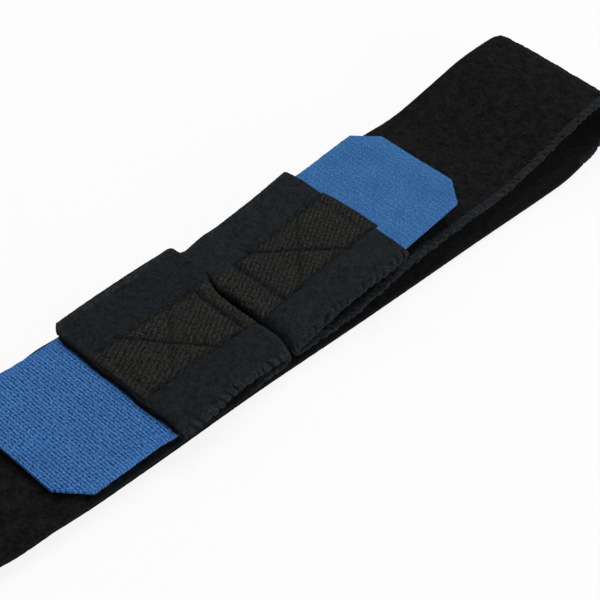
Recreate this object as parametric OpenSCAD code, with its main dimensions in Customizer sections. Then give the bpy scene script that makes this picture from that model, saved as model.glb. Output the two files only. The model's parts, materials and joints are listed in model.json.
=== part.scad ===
// Hook-and-loop elastic wrap, laid flat as a closed loop with its two fastening ends in the middle.
// +X runs along the band, +Y across it, +Z up. The origin is on the table, under the middle groove.
// One plush band makes a base run, a soft turn at each end and two upper runs back to the middle.
// There each end is folded back on itself, and carries a hook tape tab sewn under it.

/* [Band] */
// Width of the band across its selvages
band_w = 43; // [36:0.5:60]
// Width of each ribbed selvage beside the plush
selvage_w = 3; // [2:0.1:5]
// Thickness of the woven elastic webbing
webbing_t = 1.2; // [0.8:0.1:2]
// Height of the plush loops on the outer face
plush_t = 1.0; // [0.6:0.1:1.6]
// Width of the twill tape down the middle of the inner face
centre_tape_w = 18; // [12:0.5:28]
// Thickness of that tape
centre_tape_t = 0.4; // [0.2:0.1:0.8]

/* [Loop] */
// Distance from the middle to the axis of each soft turn
half_run = 146; // [132:1:200]
// Outer radius of the soft turns
turn_r = 11; // [10:0.5:18]
// Air between layers that lie on each other
lay_gap = 0.3; // [0.2:0.1:1]
// Width of the groove between the two folded ends
groove_w = 1.4; // [1.2:0.1:3]

/* [Right end] */
// From the middle to the end of the right panel
right_panel_l = 43.8; // [38:0.1:56]
// Slack that widens the right fold past the thickness of its tab
right_slack = 0; // [0:0.1:2]
// Angle at which the right panel and tab stand off the plush
right_lift = 9.5; // [6:0.5:14]
// How far the right upper run hangs below that slope
right_sag = 3.5; // [2:0.1:5]
// Run of the right upper run that still climbs past the panel
right_climb = 16; // [10:1:24]
// Level stretch past the right tab
right_level = 15; // [10:1:24]

/* [Left end] */
// From the middle to the end of the left panel
left_panel_l = 42.2; // [38:0.1:50]
// Slack that widens the left fold past the thickness of its tab
left_slack = 1.1; // [0:0.1:2]
// Angle at which the left panel and tab stand off the plush
left_lift = 0; // [0:0.5:3]
// How far the left upper run hangs below that slope
left_sag = 0; // [0:0.1:2]
// Run of the left upper run that still climbs past the panel
left_climb = 16; // [10:1:24]
// Level stretch past the left tab
left_level = 12; // [8:1:24]

/* [Hook tabs] */
// Width of the hook tape
tab_w = 38; // [28:0.5:50]
// Thickness of the hook tape's woven ground
tab_t = 0.8; // [0.5:0.1:1.2]
// Free length of a tab past its panel
flap_l = 31; // [20:1:36]
// Cut corner, along the tab
corner_l = 6.2; // [3:0.1:10]
// Cut corner, across the tab
corner_w = 6.5; // [3:0.1:10]
// Height of the hooks
hook_h = 0.8; // [0.5:0.1:1.2]
// Plain selvage of the hook tape, without hooks
tab_selvage_w = 2; // [1:0.1:3]
// From the fold to where the sewn part of the tab starts
anchor_inset = 6; // [4:0.5:12]
// Air between the hooks and the plush below
hook_gap = 0.4; // [0.3:0.1:1]
// Slit between the sewn part of a tab and its free part
peel_slit = 0.2; // [0.2:0.1:0.6]

/* [Panels] */
// How far the centre tape sticks out past the panel
tape_overhang = 0.8; // [0.2:0.1:1.5]
// Air between pieces that turn against each other
joint_gap = 0.3; // [0.2:0.1:0.6]
// Thread width on the face
thread_w = 0.6; // [0.3:0.1:1]
// Thread height on the face
thread_t = 0.3; // [0.2:0.1:0.5]
// From the fold to the sewn box, whose first line is the cross seam by the fold
box_inset = 3.7; // [3:0.1:8]
// From the last line of the sewn box to the end of the panel
box_end_gap = 2.5; // [1:0.1:5]
// Gap between the sewn box and the tape's edges
box_margin = 0.4; // [0.4:0.1:3]
// From the fold to the sewn cross
cross_inset = 10.6; // [8:0.1:14]
// Length of the sewn cross
cross_l = 18; // [10:0.5:20]

/* [Hidden] */

// Steps in each quarter turn and in each eased climb
arc_steps = 14;
climb_steps = 12;

band_t = webbing_t + plush_t;
plush_w = band_w - 2 * selvage_w;
// Layers that the upper runs lie on at the middle, then the face that they show there
stack_z = band_t + centre_tape_t + lay_gap + centre_tape_t;
fold_face_z = stack_z + band_t;
turn_gap_angle = joint_gap / turn_r * 180 / PI;

slate = [0.115, 0.13, 0.145];
plush_black = [0.085, 0.088, 0.086];
selvage_grey = [0.14, 0.15, 0.165];
twill_brown = [0.145, 0.14, 0.125];
hook_blue = [0.2, 0.37, 0.575];
hook_pale = [0.27, 0.44, 0.64];
thread_black = [0.05, 0.05, 0.06];

// One end of the wrap: panel length, slack, lift, sag, climb past the panel, level stretch past the tab
right_end = [right_panel_l, right_slack, right_lift, right_sag, right_climb, right_level];
left_end = [left_panel_l, left_slack, left_lift, left_sag, left_climb, left_level];

function lift(end) = end[2];
function climb_end_x(end) = end[0] + end[4];
function swell_x(end) = end[0] + flap_l + end[5];

// The fold closes round the tab, its hooks and the air below them
function fold_in_r(end) = (tab_t + hook_h + hook_gap) / 2 + end[1];
function fold_out_r(end) = fold_in_r(end) + band_t;
function fold_z(end) = fold_face_z + fold_in_r(end);
function fold_x(end) = groove_w / 2 + fold_out_r(end) + centre_tape_t;
function panel_run(end) = end[0] - fold_x(end);
// A slack fold holds the panel up at its root, so the panel slopes down until the tab's tip is on the plush
function settle(end) = asin(2 * end[1] / (panel_run(end) + flap_l));
function rise(end) = lift(end) - settle(end);
function level_z(end) = fold_face_z + (climb_end_x(end) - fold_x(end)) * tan(lift(end)) - end[3];

function within(t) = max(0, min(1, t));
function ease(t) = t * t * (3 - 2 * t);
function eased(x, from, to) = ease(within((x - from) / (to - from)));

// Height of the plush face of an upper run at x
function limb_z(end, x) =
    fold_face_z
    + (level_z(end) - fold_face_z) * eased(x, fold_x(end), climb_end_x(end))
    + (2 * turn_r - level_z(end)) * eased(x, swell_x(end), half_run);

function steps_between(a, b, n) = [for (i = [1 : n]) a + (b - a) * i / n];

function limb_stations(end) = concat(
    steps_between(half_run, swell_x(end), climb_steps),
    [climb_end_x(end)],
    steps_between(climb_end_x(end), fold_x(end), climb_steps)
);

function arc(cx, cz, r, from, to, n) =
    [for (i = [0 : n]) let (a = from + (to - from) * i / n) [cx + r * cos(a), cz + r * sin(a)]];

function backwards(points) = [for (i = [len(points) - 1 : -1 : 0]) points[i]];

// Side lines at a depth below the plush face
function base_line(depth) = concat(
    arc(-half_run, turn_r, turn_r - depth, 180, 270, arc_steps),
    arc(half_run, turn_r, turn_r - depth, -90, 0, arc_steps)
);

function limb_line(end, depth) = concat(
    arc(half_run, turn_r, turn_r - depth, turn_gap_angle, 90, arc_steps),
    [for (x = limb_stations(end)) [x, limb_z(end, x) - depth]]
);

// Side line of a fold at a depth outside its inner face
function fold_line(end, depth) =
    arc(fold_x(end), fold_z(end), fold_in_r(end) + depth, 270, 90 + rise(end), arc_steps);

function between(line_a, line_b) = concat(line_a, backwards(line_b));

// A side outline drawn across the band from y to y + w
module across(outline, y, w) {
    translate([0, y + w, 0])
        rotate([90, 0, 0])
            linear_extrude(height = w)
                polygon(outline);
}

// The same outline in the middle of the band, and along both selvages
module middle_strip(outline, w) across(outline, -w / 2, w);

module selvage_pair(outline) {
    across(outline, -band_w / 2, selvage_w);
    across(outline, plush_w / 2, selvage_w);
}

// Places things along a panel: X outwards from the fold, Z square to the panel from its lower face
module on_panel(end) {
    translate([fold_x(end), 0, fold_z(end)])
        rotate([0, -rise(end), 0])
            translate([0, 0, fold_in_r(end)])
                children();
}

module panel_slab(end, x0, x1, z0, z1, w) {
    on_panel(end)
        translate([x0, -w / 2, z0])
            cube([x1 - x0, w, z1 - z0]);
}

// Base run, with the lower half of each soft turn
module base_webbing() {
    color(slate) middle_strip(between(base_line(plush_t), base_line(band_t)), band_w);
}

module base_plush() {
    color(plush_black) middle_strip(between(base_line(0), base_line(plush_t)), plush_w);
}

module base_selvages() {
    color(selvage_grey) selvage_pair(between(base_line(0), base_line(plush_t)));
}

module base_centre_tape() {
    color(twill_brown)
        middle_strip(between(base_line(band_t), base_line(band_t + centre_tape_t)), centre_tape_w);
}

// Upper runs, each with the upper half of its soft turn
module limb_webbing(end) {
    color(slate) middle_strip(between(limb_line(end, plush_t), limb_line(end, band_t)), band_w);
}

module limb_plush(end) {
    color(plush_black) middle_strip(between(limb_line(end, 0), limb_line(end, plush_t)), plush_w);
}

module limb_selvages(end) {
    color(selvage_grey) selvage_pair(between(limb_line(end, 0), limb_line(end, plush_t)));
}

module limb_centre_tape(end) {
    color(twill_brown)
        middle_strip(
            between(limb_line(end, band_t), limb_line(end, band_t + centre_tape_t)),
            centre_tape_w
        );
}

// Tight folds that turn the ends back, with the plush on the inside
module fold_webbing(end) {
    color(slate)
        middle_strip(
            between(fold_line(end, plush_t), fold_line(end, band_t)),
            band_w
        );
}

module fold_plush(end) {
    color(plush_black)
        middle_strip(
            between(fold_line(end, 0), fold_line(end, plush_t)),
            plush_w
        );
}

module fold_selvages(end) {
    color(selvage_grey)
        selvage_pair(between(fold_line(end, 0), fold_line(end, plush_t)));
}

module fold_centre_tape(end) {
    color(twill_brown)
        middle_strip(
            between(fold_line(end, band_t), fold_line(end, band_t + centre_tape_t)),
            centre_tape_w
        );
}

// End panels, which show the band's inner face
module panel_webbing(end) {
    color(slate)
        panel_slab(end, joint_gap, panel_run(end), plush_t, band_t, band_w);
}

module panel_plush(end) {
    color(plush_black)
        panel_slab(end, joint_gap, panel_run(end), 0, plush_t, plush_w);
}

module panel_selvages(end) {
    color(selvage_grey)
        difference() {
            panel_slab(end, joint_gap, panel_run(end), 0, plush_t, band_w);
            panel_slab(end, 0, panel_run(end) + joint_gap, -joint_gap, band_t, plush_w);
        }
}

module panel_centre_tape(end) {
    color(twill_brown)
        panel_slab(
            end, joint_gap, panel_run(end) + tape_overhang,
            band_t, band_t + centre_tape_t, centre_tape_w
        );
}

// Hook tape: the part sewn under a panel, and the free flap with two cut corners
module tab_anchor(end) {
    color(hook_blue)
        panel_slab(end, anchor_inset, panel_run(end), -tab_t, 0, tab_w);
}

module tab_anchor_hooks(end) {
    color(hook_pale)
        panel_slab(
            end, anchor_inset, panel_run(end),
            -tab_t - hook_h, -tab_t, tab_w - 2 * tab_selvage_w
        );
}

module flap_outline(end, w) {
    near_x = panel_run(end) + peel_slit;
    far_x = panel_run(end) + flap_l;
    // The cut corner is narrowed with the outline, so that its slope stays
    cut_w = corner_w - (tab_w - w) / 2;
    cut_l = corner_l * cut_w / corner_w;
    polygon([
        [near_x, -w / 2],
        [far_x - cut_l, -w / 2],
        [far_x, -w / 2 + cut_w],
        [far_x, w / 2 - cut_w],
        [far_x - cut_l, w / 2],
        [near_x, w / 2]
    ]);
}

module tab_flap(end) {
    color(hook_blue)
        on_panel(end)
            translate([0, 0, -tab_t])
                linear_extrude(height = tab_t)
                    flap_outline(end, tab_w);
}

module tab_flap_hooks(end) {
    color(hook_pale)
        on_panel(end)
            translate([0, 0, -tab_t - hook_h])
                linear_extrude(height = hook_h)
                    flap_outline(end, tab_w - 2 * tab_selvage_w);
}

// A line of stitching on the tape's face from point a to point b
module stitch_line(a, b) {
    along = b - a;
    translate([a[0], a[1], band_t + centre_tape_t])
        rotate([0, 0, atan2(along[1], along[0])])
            translate([-thread_w / 2, -thread_w / 2, 0])
                cube([norm(along) + thread_w, thread_w, thread_t]);
}

// A sewn box along the tape's edges, with a sewn cross inside it
module box_stitching(end) {
    box_x = [box_inset, panel_run(end) - box_end_gap];
    cross_x = [cross_inset, cross_inset + cross_l];
    y1 = centre_tape_w / 2 - box_margin - thread_w / 2;
    color(thread_black)
        on_panel(end) {
            for (x = box_x) stitch_line([x, -y1], [x, y1]);
            for (y = [-y1, y1]) stitch_line([box_x[0], y], [box_x[1], y]);
            for (side = [-1, 1]) stitch_line([cross_x[0], -side * y1], [cross_x[1], side * y1]);
        }
}

module right_limb_webbing() limb_webbing(right_end);
module right_limb_plush() limb_plush(right_end);
module right_limb_selvages() limb_selvages(right_end);
module right_limb_centre_tape() limb_centre_tape(right_end);
module right_fold_webbing() fold_webbing(right_end);
module right_fold_plush() fold_plush(right_end);
module right_fold_selvages() fold_selvages(right_end);
module right_fold_centre_tape() fold_centre_tape(right_end);
module right_panel_webbing() panel_webbing(right_end);
module right_panel_plush() panel_plush(right_end);
module right_panel_selvages() panel_selvages(right_end);
module right_panel_centre_tape() panel_centre_tape(right_end);
module right_tab_anchor() tab_anchor(right_end);
module right_tab_anchor_hooks() tab_anchor_hooks(right_end);
module right_tab_flap() tab_flap(right_end);
module right_tab_flap_hooks() tab_flap_hooks(right_end);
module right_box_stitching() box_stitching(right_end);

// The left end is the mirror image, with its own lengths and slope
module mirrored() mirror([1, 0, 0]) children();

module left_limb_webbing() mirrored() limb_webbing(left_end);
module left_limb_plush() mirrored() limb_plush(left_end);
module left_limb_selvages() mirrored() limb_selvages(left_end);
module left_limb_centre_tape() mirrored() limb_centre_tape(left_end);
module left_fold_webbing() mirrored() fold_webbing(left_end);
module left_fold_plush() mirrored() fold_plush(left_end);
module left_fold_selvages() mirrored() fold_selvages(left_end);
module left_fold_centre_tape() mirrored() fold_centre_tape(left_end);
module left_panel_webbing() mirrored() panel_webbing(left_end);
module left_panel_plush() mirrored() panel_plush(left_end);
module left_panel_selvages() mirrored() panel_selvages(left_end);
module left_panel_centre_tape() mirrored() panel_centre_tape(left_end);
module left_tab_anchor() mirrored() tab_anchor(left_end);
module left_tab_anchor_hooks() mirrored() tab_anchor_hooks(left_end);
module left_tab_flap() mirrored() tab_flap(left_end);
module left_tab_flap_hooks() mirrored() tab_flap_hooks(left_end);
module left_box_stitching() mirrored() box_stitching(left_end);

base_webbing();
base_plush();
base_selvages();
base_centre_tape();
right_limb_webbing();
right_limb_plush();
right_limb_selvages();
right_limb_centre_tape();
right_fold_webbing();
right_fold_plush();
right_fold_selvages();
right_fold_centre_tape();
right_panel_webbing();
right_panel_plush();
right_panel_selvages();
right_panel_centre_tape();
right_tab_anchor();
right_tab_anchor_hooks();
right_tab_flap();
right_tab_flap_hooks();
right_box_stitching();
left_limb_webbing();
left_limb_plush();
left_limb_selvages();
left_limb_centre_tape();
left_fold_webbing();
left_fold_plush();
left_fold_selvages();
left_fold_centre_tape();
left_panel_webbing();
left_panel_plush();
left_panel_selvages();
left_panel_centre_tape();
left_tab_anchor();
left_tab_anchor_hooks();
left_tab_flap();
left_tab_flap_hooks();
left_box_stitching();
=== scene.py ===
"""Looks of a hook-and-loop hand wrap: a plush elastic band laid as a flat loop, with two hook tape tabs.

Lengths are in metres. X runs along the band, Y across it, and Z up from the table. Every piece of the band
is made on its side line: s runs along the line, y across the band, and depth from the plush face towards the
inner face.
"""

import json
import logging
import math
from dataclasses import dataclass, field
from enum import Enum

import bpy
import numpy as np
from mathutils import Matrix, Vector


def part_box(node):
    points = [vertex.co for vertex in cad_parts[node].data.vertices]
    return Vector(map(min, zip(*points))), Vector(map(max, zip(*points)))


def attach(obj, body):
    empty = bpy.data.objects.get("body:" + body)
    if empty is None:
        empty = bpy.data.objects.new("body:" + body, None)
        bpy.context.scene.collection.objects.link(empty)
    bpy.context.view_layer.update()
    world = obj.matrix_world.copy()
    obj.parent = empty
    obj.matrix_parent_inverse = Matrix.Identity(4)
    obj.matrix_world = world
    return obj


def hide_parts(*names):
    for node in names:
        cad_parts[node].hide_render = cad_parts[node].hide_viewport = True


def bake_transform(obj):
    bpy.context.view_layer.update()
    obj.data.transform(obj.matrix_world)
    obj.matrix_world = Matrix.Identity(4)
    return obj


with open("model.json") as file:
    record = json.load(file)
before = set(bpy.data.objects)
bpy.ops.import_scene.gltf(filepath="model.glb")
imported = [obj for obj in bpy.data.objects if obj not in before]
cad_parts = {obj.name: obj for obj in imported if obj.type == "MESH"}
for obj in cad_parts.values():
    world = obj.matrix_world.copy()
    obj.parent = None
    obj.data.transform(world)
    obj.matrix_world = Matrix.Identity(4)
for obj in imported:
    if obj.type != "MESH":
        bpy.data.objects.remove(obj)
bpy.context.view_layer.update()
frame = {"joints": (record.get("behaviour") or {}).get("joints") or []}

MM = 0.001
CLOTH = "cloth"
RIB = "rib"
SHARP = math.radians(66)
Colour = tuple[float, float, float, float]

# Points that a side line is traced with, and the factors that scatter the corners of a noise's cells.
TRACE_STEP = 0.1 * MM
TURN_POINTS = 320
FOLD_POINTS = 160
BASE_POINTS = 64
HASH = (127.1, 311.7, 74.7, 43758.5453)

log = logging.getLogger("hand_wrap")
JOINTS = {joint["name"]: joint for joint in frame["joints"]}


def ease(t: np.ndarray) -> np.ndarray:
    """Smooth step from 0 to 1, held outside that range."""
    t = np.clip(t, 0.0, 1.0)
    return t * t * (3.0 - 2.0 * t)


def past(value: np.ndarray, limit: float = 0.0) -> np.ndarray:
    """How far a value is past a limit, and 0 before it."""
    return np.clip(value - limit, 0, None)


def hump(offset: np.ndarray, width: float, power: int = 2) -> np.ndarray:
    """Smooth hump of height 1 where the offset is 0, which fades over the width on both sides."""
    return np.exp(-((offset / width) ** power))


def stacked(*parts: "np.ndarray | float") -> np.ndarray:
    """Coordinates of one shape, stacked on a last axis."""
    return np.stack(np.broadcast_arrays(*parts), -1)


@dataclass(frozen=True)
class Ramp:
    """A smooth step along or across the band, from 0 at its start to its height a length further on."""

    start: float
    length: float
    height: float = 1.0

    def at(self, value: np.ndarray) -> np.ndarray:
        """Height of the step at a place."""
        return self.height * ease((value - self.start) / self.length)


@dataclass(frozen=True)
class Grain:
    """Smooth noise over a surface, the same at each run: its height, the size of its cells and its seed."""

    height: float
    cell: float
    seed: int

    def at(self, a: np.ndarray, b: "np.ndarray | float", shift: int = 0) -> np.ndarray:
        """Height of the noise.

        Args:
            a: Place along the surface.
            b: Place across it.
            shift: Added to the seed where each side has a noise of its own.

        Returns:
            Heights, of the shape that a and b share.
        """
        a, b = np.broadcast_arrays(a / self.cell, b / self.cell)
        i, j = np.floor(a), np.floor(b)
        u, v = ease(a - i), ease(b - j)

        def corner(di: int, dj: int) -> np.ndarray:
            """Value at one corner of each point's cell."""
            wave = np.sin((i + di) * HASH[0] + (j + dj) * HASH[1] + (self.seed + shift) * HASH[2]) * HASH[3]
            return 2.0 * (wave - np.floor(wave)) - 1.0

        low = corner(0, 0) * (1 - u) + corner(1, 0) * u
        high = corner(0, 1) * (1 - u) + corner(1, 1) * u
        return self.height * (low * (1 - v) + high * v)


# Noises of the cloth, each with its own seed.
RUN_WAVES = Grain(0.35 * MM, 26 * MM, 3)
RUN_DENTS = Grain(0.18 * MM, 11 * MM, 5)
CUT_WANDER = Grain(0.3 * MM, 4 * MM, 9)
FELT_LUMPS = Grain(0.12 * MM, 2.6 * MM, 11)
FELT_FIBRES = Grain(0.11 * MM, 1.1 * MM, 12)
PANEL_WAVES = Grain(0.28 * MM, 8 * MM, 13)
NAP = Grain(0.15 * MM, 1.5 * MM, 21)
NAP_FINE = Grain(0.15 * MM, 0.62 * MM, 22)
FRINGE = Grain(0.5 * MM, 2.2 * MM, 23)
FRINGE_FINE = Grain(0.45 * MM, 0.9 * MM, 24)
TAPE_EDGE = Grain(0.4 * MM, 4 * MM, 31)
TAPE_EDGE_FINE = Grain(0.25 * MM, 1.3 * MM, 32)
TWILL_WANDER = Grain(0.3 * MM, 1.6 * MM, 33)
RIB_WANDER = Grain(1.2 * MM, 5 * MM, 41)
RIB_DEPTH = Grain(0.5, 3 * MM, 42)
TICK_REACH = Grain(0.6, 4 * MM, 43)
OVERLOCK_FUZZ = Grain(0.2 * MM, 0.9 * MM, 44)
TAB_FRAY = Grain(0.08 * MM, 0.8 * MM, 51)
TAB_WAVES = Grain(2.5, 9 * MM, 52)
SEAM_PULL = Grain(0.25, 3 * MM, 61)
# Uneven strength of the shade painted along the seams.
SEAM_SHADE_GRAIN = Grain(0.25, 1.3 * MM, 62)

# Lengths along the band over which its soft shape changes, from the turn, the fold or the panel's end.
RUN_SHIFT = Ramp(0, 45 * MM)
RUN_CALM = Ramp(0, 30 * MM)
RUN_DRAW = Ramp(0, 30 * MM)
RUN_DRAW_MORE = Ramp(66 * MM, 42 * MM, 0.95)
RUN_BULGE = Ramp(0, 40 * MM)
# Where the upper run's share starts past the fold; it sets how dark the run's near edge is painted as shade,
# and how far its pile hangs over.
RUN_SHARE_RAMP = Ramp(2 * MM, 12 * MM)
OFF_TURN = Ramp(0, 30 * MM)
PANEL_LOOSE = Ramp(0.2, 0.75)
PANEL_END = Ramp(-15 * MM, 15 * MM)
FOLD_SET = Ramp(0, 12 * MM)
NEAR_SET = Ramp(0, 20 * MM)
CORNER_SET = Ramp(0, 7 * MM)
TAB_FREE = Ramp(0, 6 * MM)
PANEL_TAPER = 0.85
PULL_W = 16 * MM
CORNER_FLARE = 0.2
CORNER_W = 8 * MM
BULGE_TURN = 0.6
BULGE_W = 0.14
TURN_EDGE_W = 9 * MM
TURN_SKEW_W = 12 * MM
PRESSED_W = 12 * MM

# Places across the band, from its middle line or from an edge.
FAR_PART = Ramp(5 * MM, 9 * MM)
MIDDLE_PART = Ramp(-12 * MM, 6 * MM)
NEAR_PART = 8 * MM
NEAR_EDGE = 15 * MM
FAR_CORNER = 13 * MM
SKEW_START = 4 * MM
TICK_FADE = Ramp(0, 0.8 * MM)
BASE_RIM = Ramp(-3 * MM, 2 * MM)
TAPE_RIM = Ramp(-0.2 * MM, 0.4 * MM)

# How the base bends, from its middle outwards.
BASE_RIGHT_DRAW = Ramp(122 * MM, 34 * MM, 2.6 * MM)
BASE_LEFT_DRAW = Ramp(72 * MM, 25 * MM, 0.5 * MM)
BASE_RIGHT_BEND = Ramp(75 * MM, 40 * MM, -0.25 * MM)
BASE_BOW = 0.45 * MM
BASE_BOW_X = -12 * MM
BASE_BOW_W = 26 * MM
BASE_NEAR_WAIST = Ramp(62 * MM, 20 * MM, 0.6 * MM)
BASE_FAR_WAIST = Ramp(42 * MM, 16 * MM, 1.9 * MM)
BASE_WAIST_END = Ramp(106 * MM, 28 * MM)


class Layer(Enum):
    """Layers of the band, by the ending of their CAD nodes."""

    WEB = "webbing"
    PILE = "plush"
    OVERLOCK = "selvages"
    TWILL = "centre_tape"


class Stretch(Enum):
    """Stretches of the band that move on their own, in order from the base."""

    TURN = "turn"
    RUN = "run"
    END = "end"


Layers = dict[Layer, bpy.types.Object]


@dataclass(frozen=True)
class Band:
    """Sizes of the plush band, from the frame where it gives them."""

    width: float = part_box("base_webbing")[1].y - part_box("base_webbing")[0].y
    pile_w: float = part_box("base_plush")[1].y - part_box("base_plush")[0].y
    twill_w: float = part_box("base_centre_tape")[1].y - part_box("base_centre_tape")[0].y
    pile_t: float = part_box("base_webbing")[0].z
    thick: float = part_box("base_centre_tape")[0].z
    twill_t: float = 0.4 * MM
    turn_r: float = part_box("base_plush")[1].z
    reach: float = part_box("base_plush")[1].x
    cut_x: float = 138 * MM
    turn_hold: float = 3.5 * MM
    fold_hold: float = 0.1 * MM
    stitch_pitch: float = 2.7 * MM
    overlock_w: float = 2.5 * MM
    overlock_top: float = 0.24 * MM
    overlock_lump: float = 0.30 * MM
    overlock_square: float = 0.75
    overlock_rows: int = 8
    rib_slant: float = 0.45 * MM
    rib_depth: float = 0.8
    rib_middle: float = 0.75
    run_ribs: float = 0.6
    panel_lean: float = 0.5 * MM
    run_lean: float = 1.4 * MM
    tick_l: float = 2.3 * MM
    tick_depth: float = 0.26 * MM
    tick_slant: float = 0.25
    tick_reach: float = 0.7
    # far_ticks and base_ticks also lower the tone, which paints the overlock darker as shade off the panels.
    far_ticks: float = 0.15
    base_ticks: float = 0.15
    edge_shade_floor: float = 0.35
    sunk_top: float = 0.8 * MM
    pressed: float = 0.85 * MM
    fold_rows: int = 48
    corner_cut: float = 0.9 * MM
    corner_power: int = 12
    border_start: float = 0.2
    border_swell: float = 0.55 * MM
    border_fall: float = 0.3 * MM
    end_spare: float = 0.2 * MM
    end_round: float = 0.6 * MM
    run_step: float = 0.8 * MM
    web_steps: tuple[float, float] = (0.3 * MM, 0.4 * MM)
    web_inset: float = 0.3 * MM
    web_spare: float = 0.1 * MM
    web_round: float = 1.0 * MM
    pile_step: float = 0.4 * MM
    pile_over: float = 0.7 * MM
    pile_near: float = 0.4 * MM
    pile_far: float = 1.0 * MM
    pile_end: float = 0.15 * MM
    pile_lap: float = 0.3 * MM
    pile_round: float = 1.1 * MM
    pile_spare: float = 1.03
    pile_hang: float = 0.8 * MM
    pile_sunk: float = 0.28 * MM
    twill_step: float = 0.22 * MM
    twill_sunk: float = 0.6 * MM
    twill_spare: float = 0.05 * MM
    twill_round: float = 0.4 * MM
    twill_pitch: float = 1.2 * MM
    twill_lump: float = 1.46 * MM
    twill_slant: float = math.radians(25.5)
    twill_relief: float = 0.13 * MM

    @property
    def half(self) -> float:
        """Half the band's width."""
        return self.width / 2

    @property
    def half_run(self) -> float:
        """From the middle to the axis of a soft turn."""
        return self.reach - self.turn_r


BAND = Band()


@dataclass
class Line:
    """A side line of the band: its points, the way that its plush faces, and the length along it."""

    x: np.ndarray
    z: np.ndarray
    nx: np.ndarray = field(init=False)
    nz: np.ndarray = field(init=False)
    s: np.ndarray = field(init=False)

    def __post_init__(self) -> None:
        """Works out lengths and facing from the points."""
        gaps = np.hypot(np.diff(self.x), np.diff(self.z))
        self.s = np.concatenate([[0.0], np.cumsum(gaps)])
        tx, tz = np.gradient(self.x, self.s), np.gradient(self.z, self.s)
        size = np.hypot(tx, tz)
        self.nx, self.nz = tz / size, -tx / size

    def at(self, s: np.ndarray) -> tuple[np.ndarray, ...]:
        """Point and facing at lengths s: x, z, nx and nz."""
        return tuple(np.interp(s, self.s, values) for values in (self.x, self.z, self.nx, self.nz))


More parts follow.
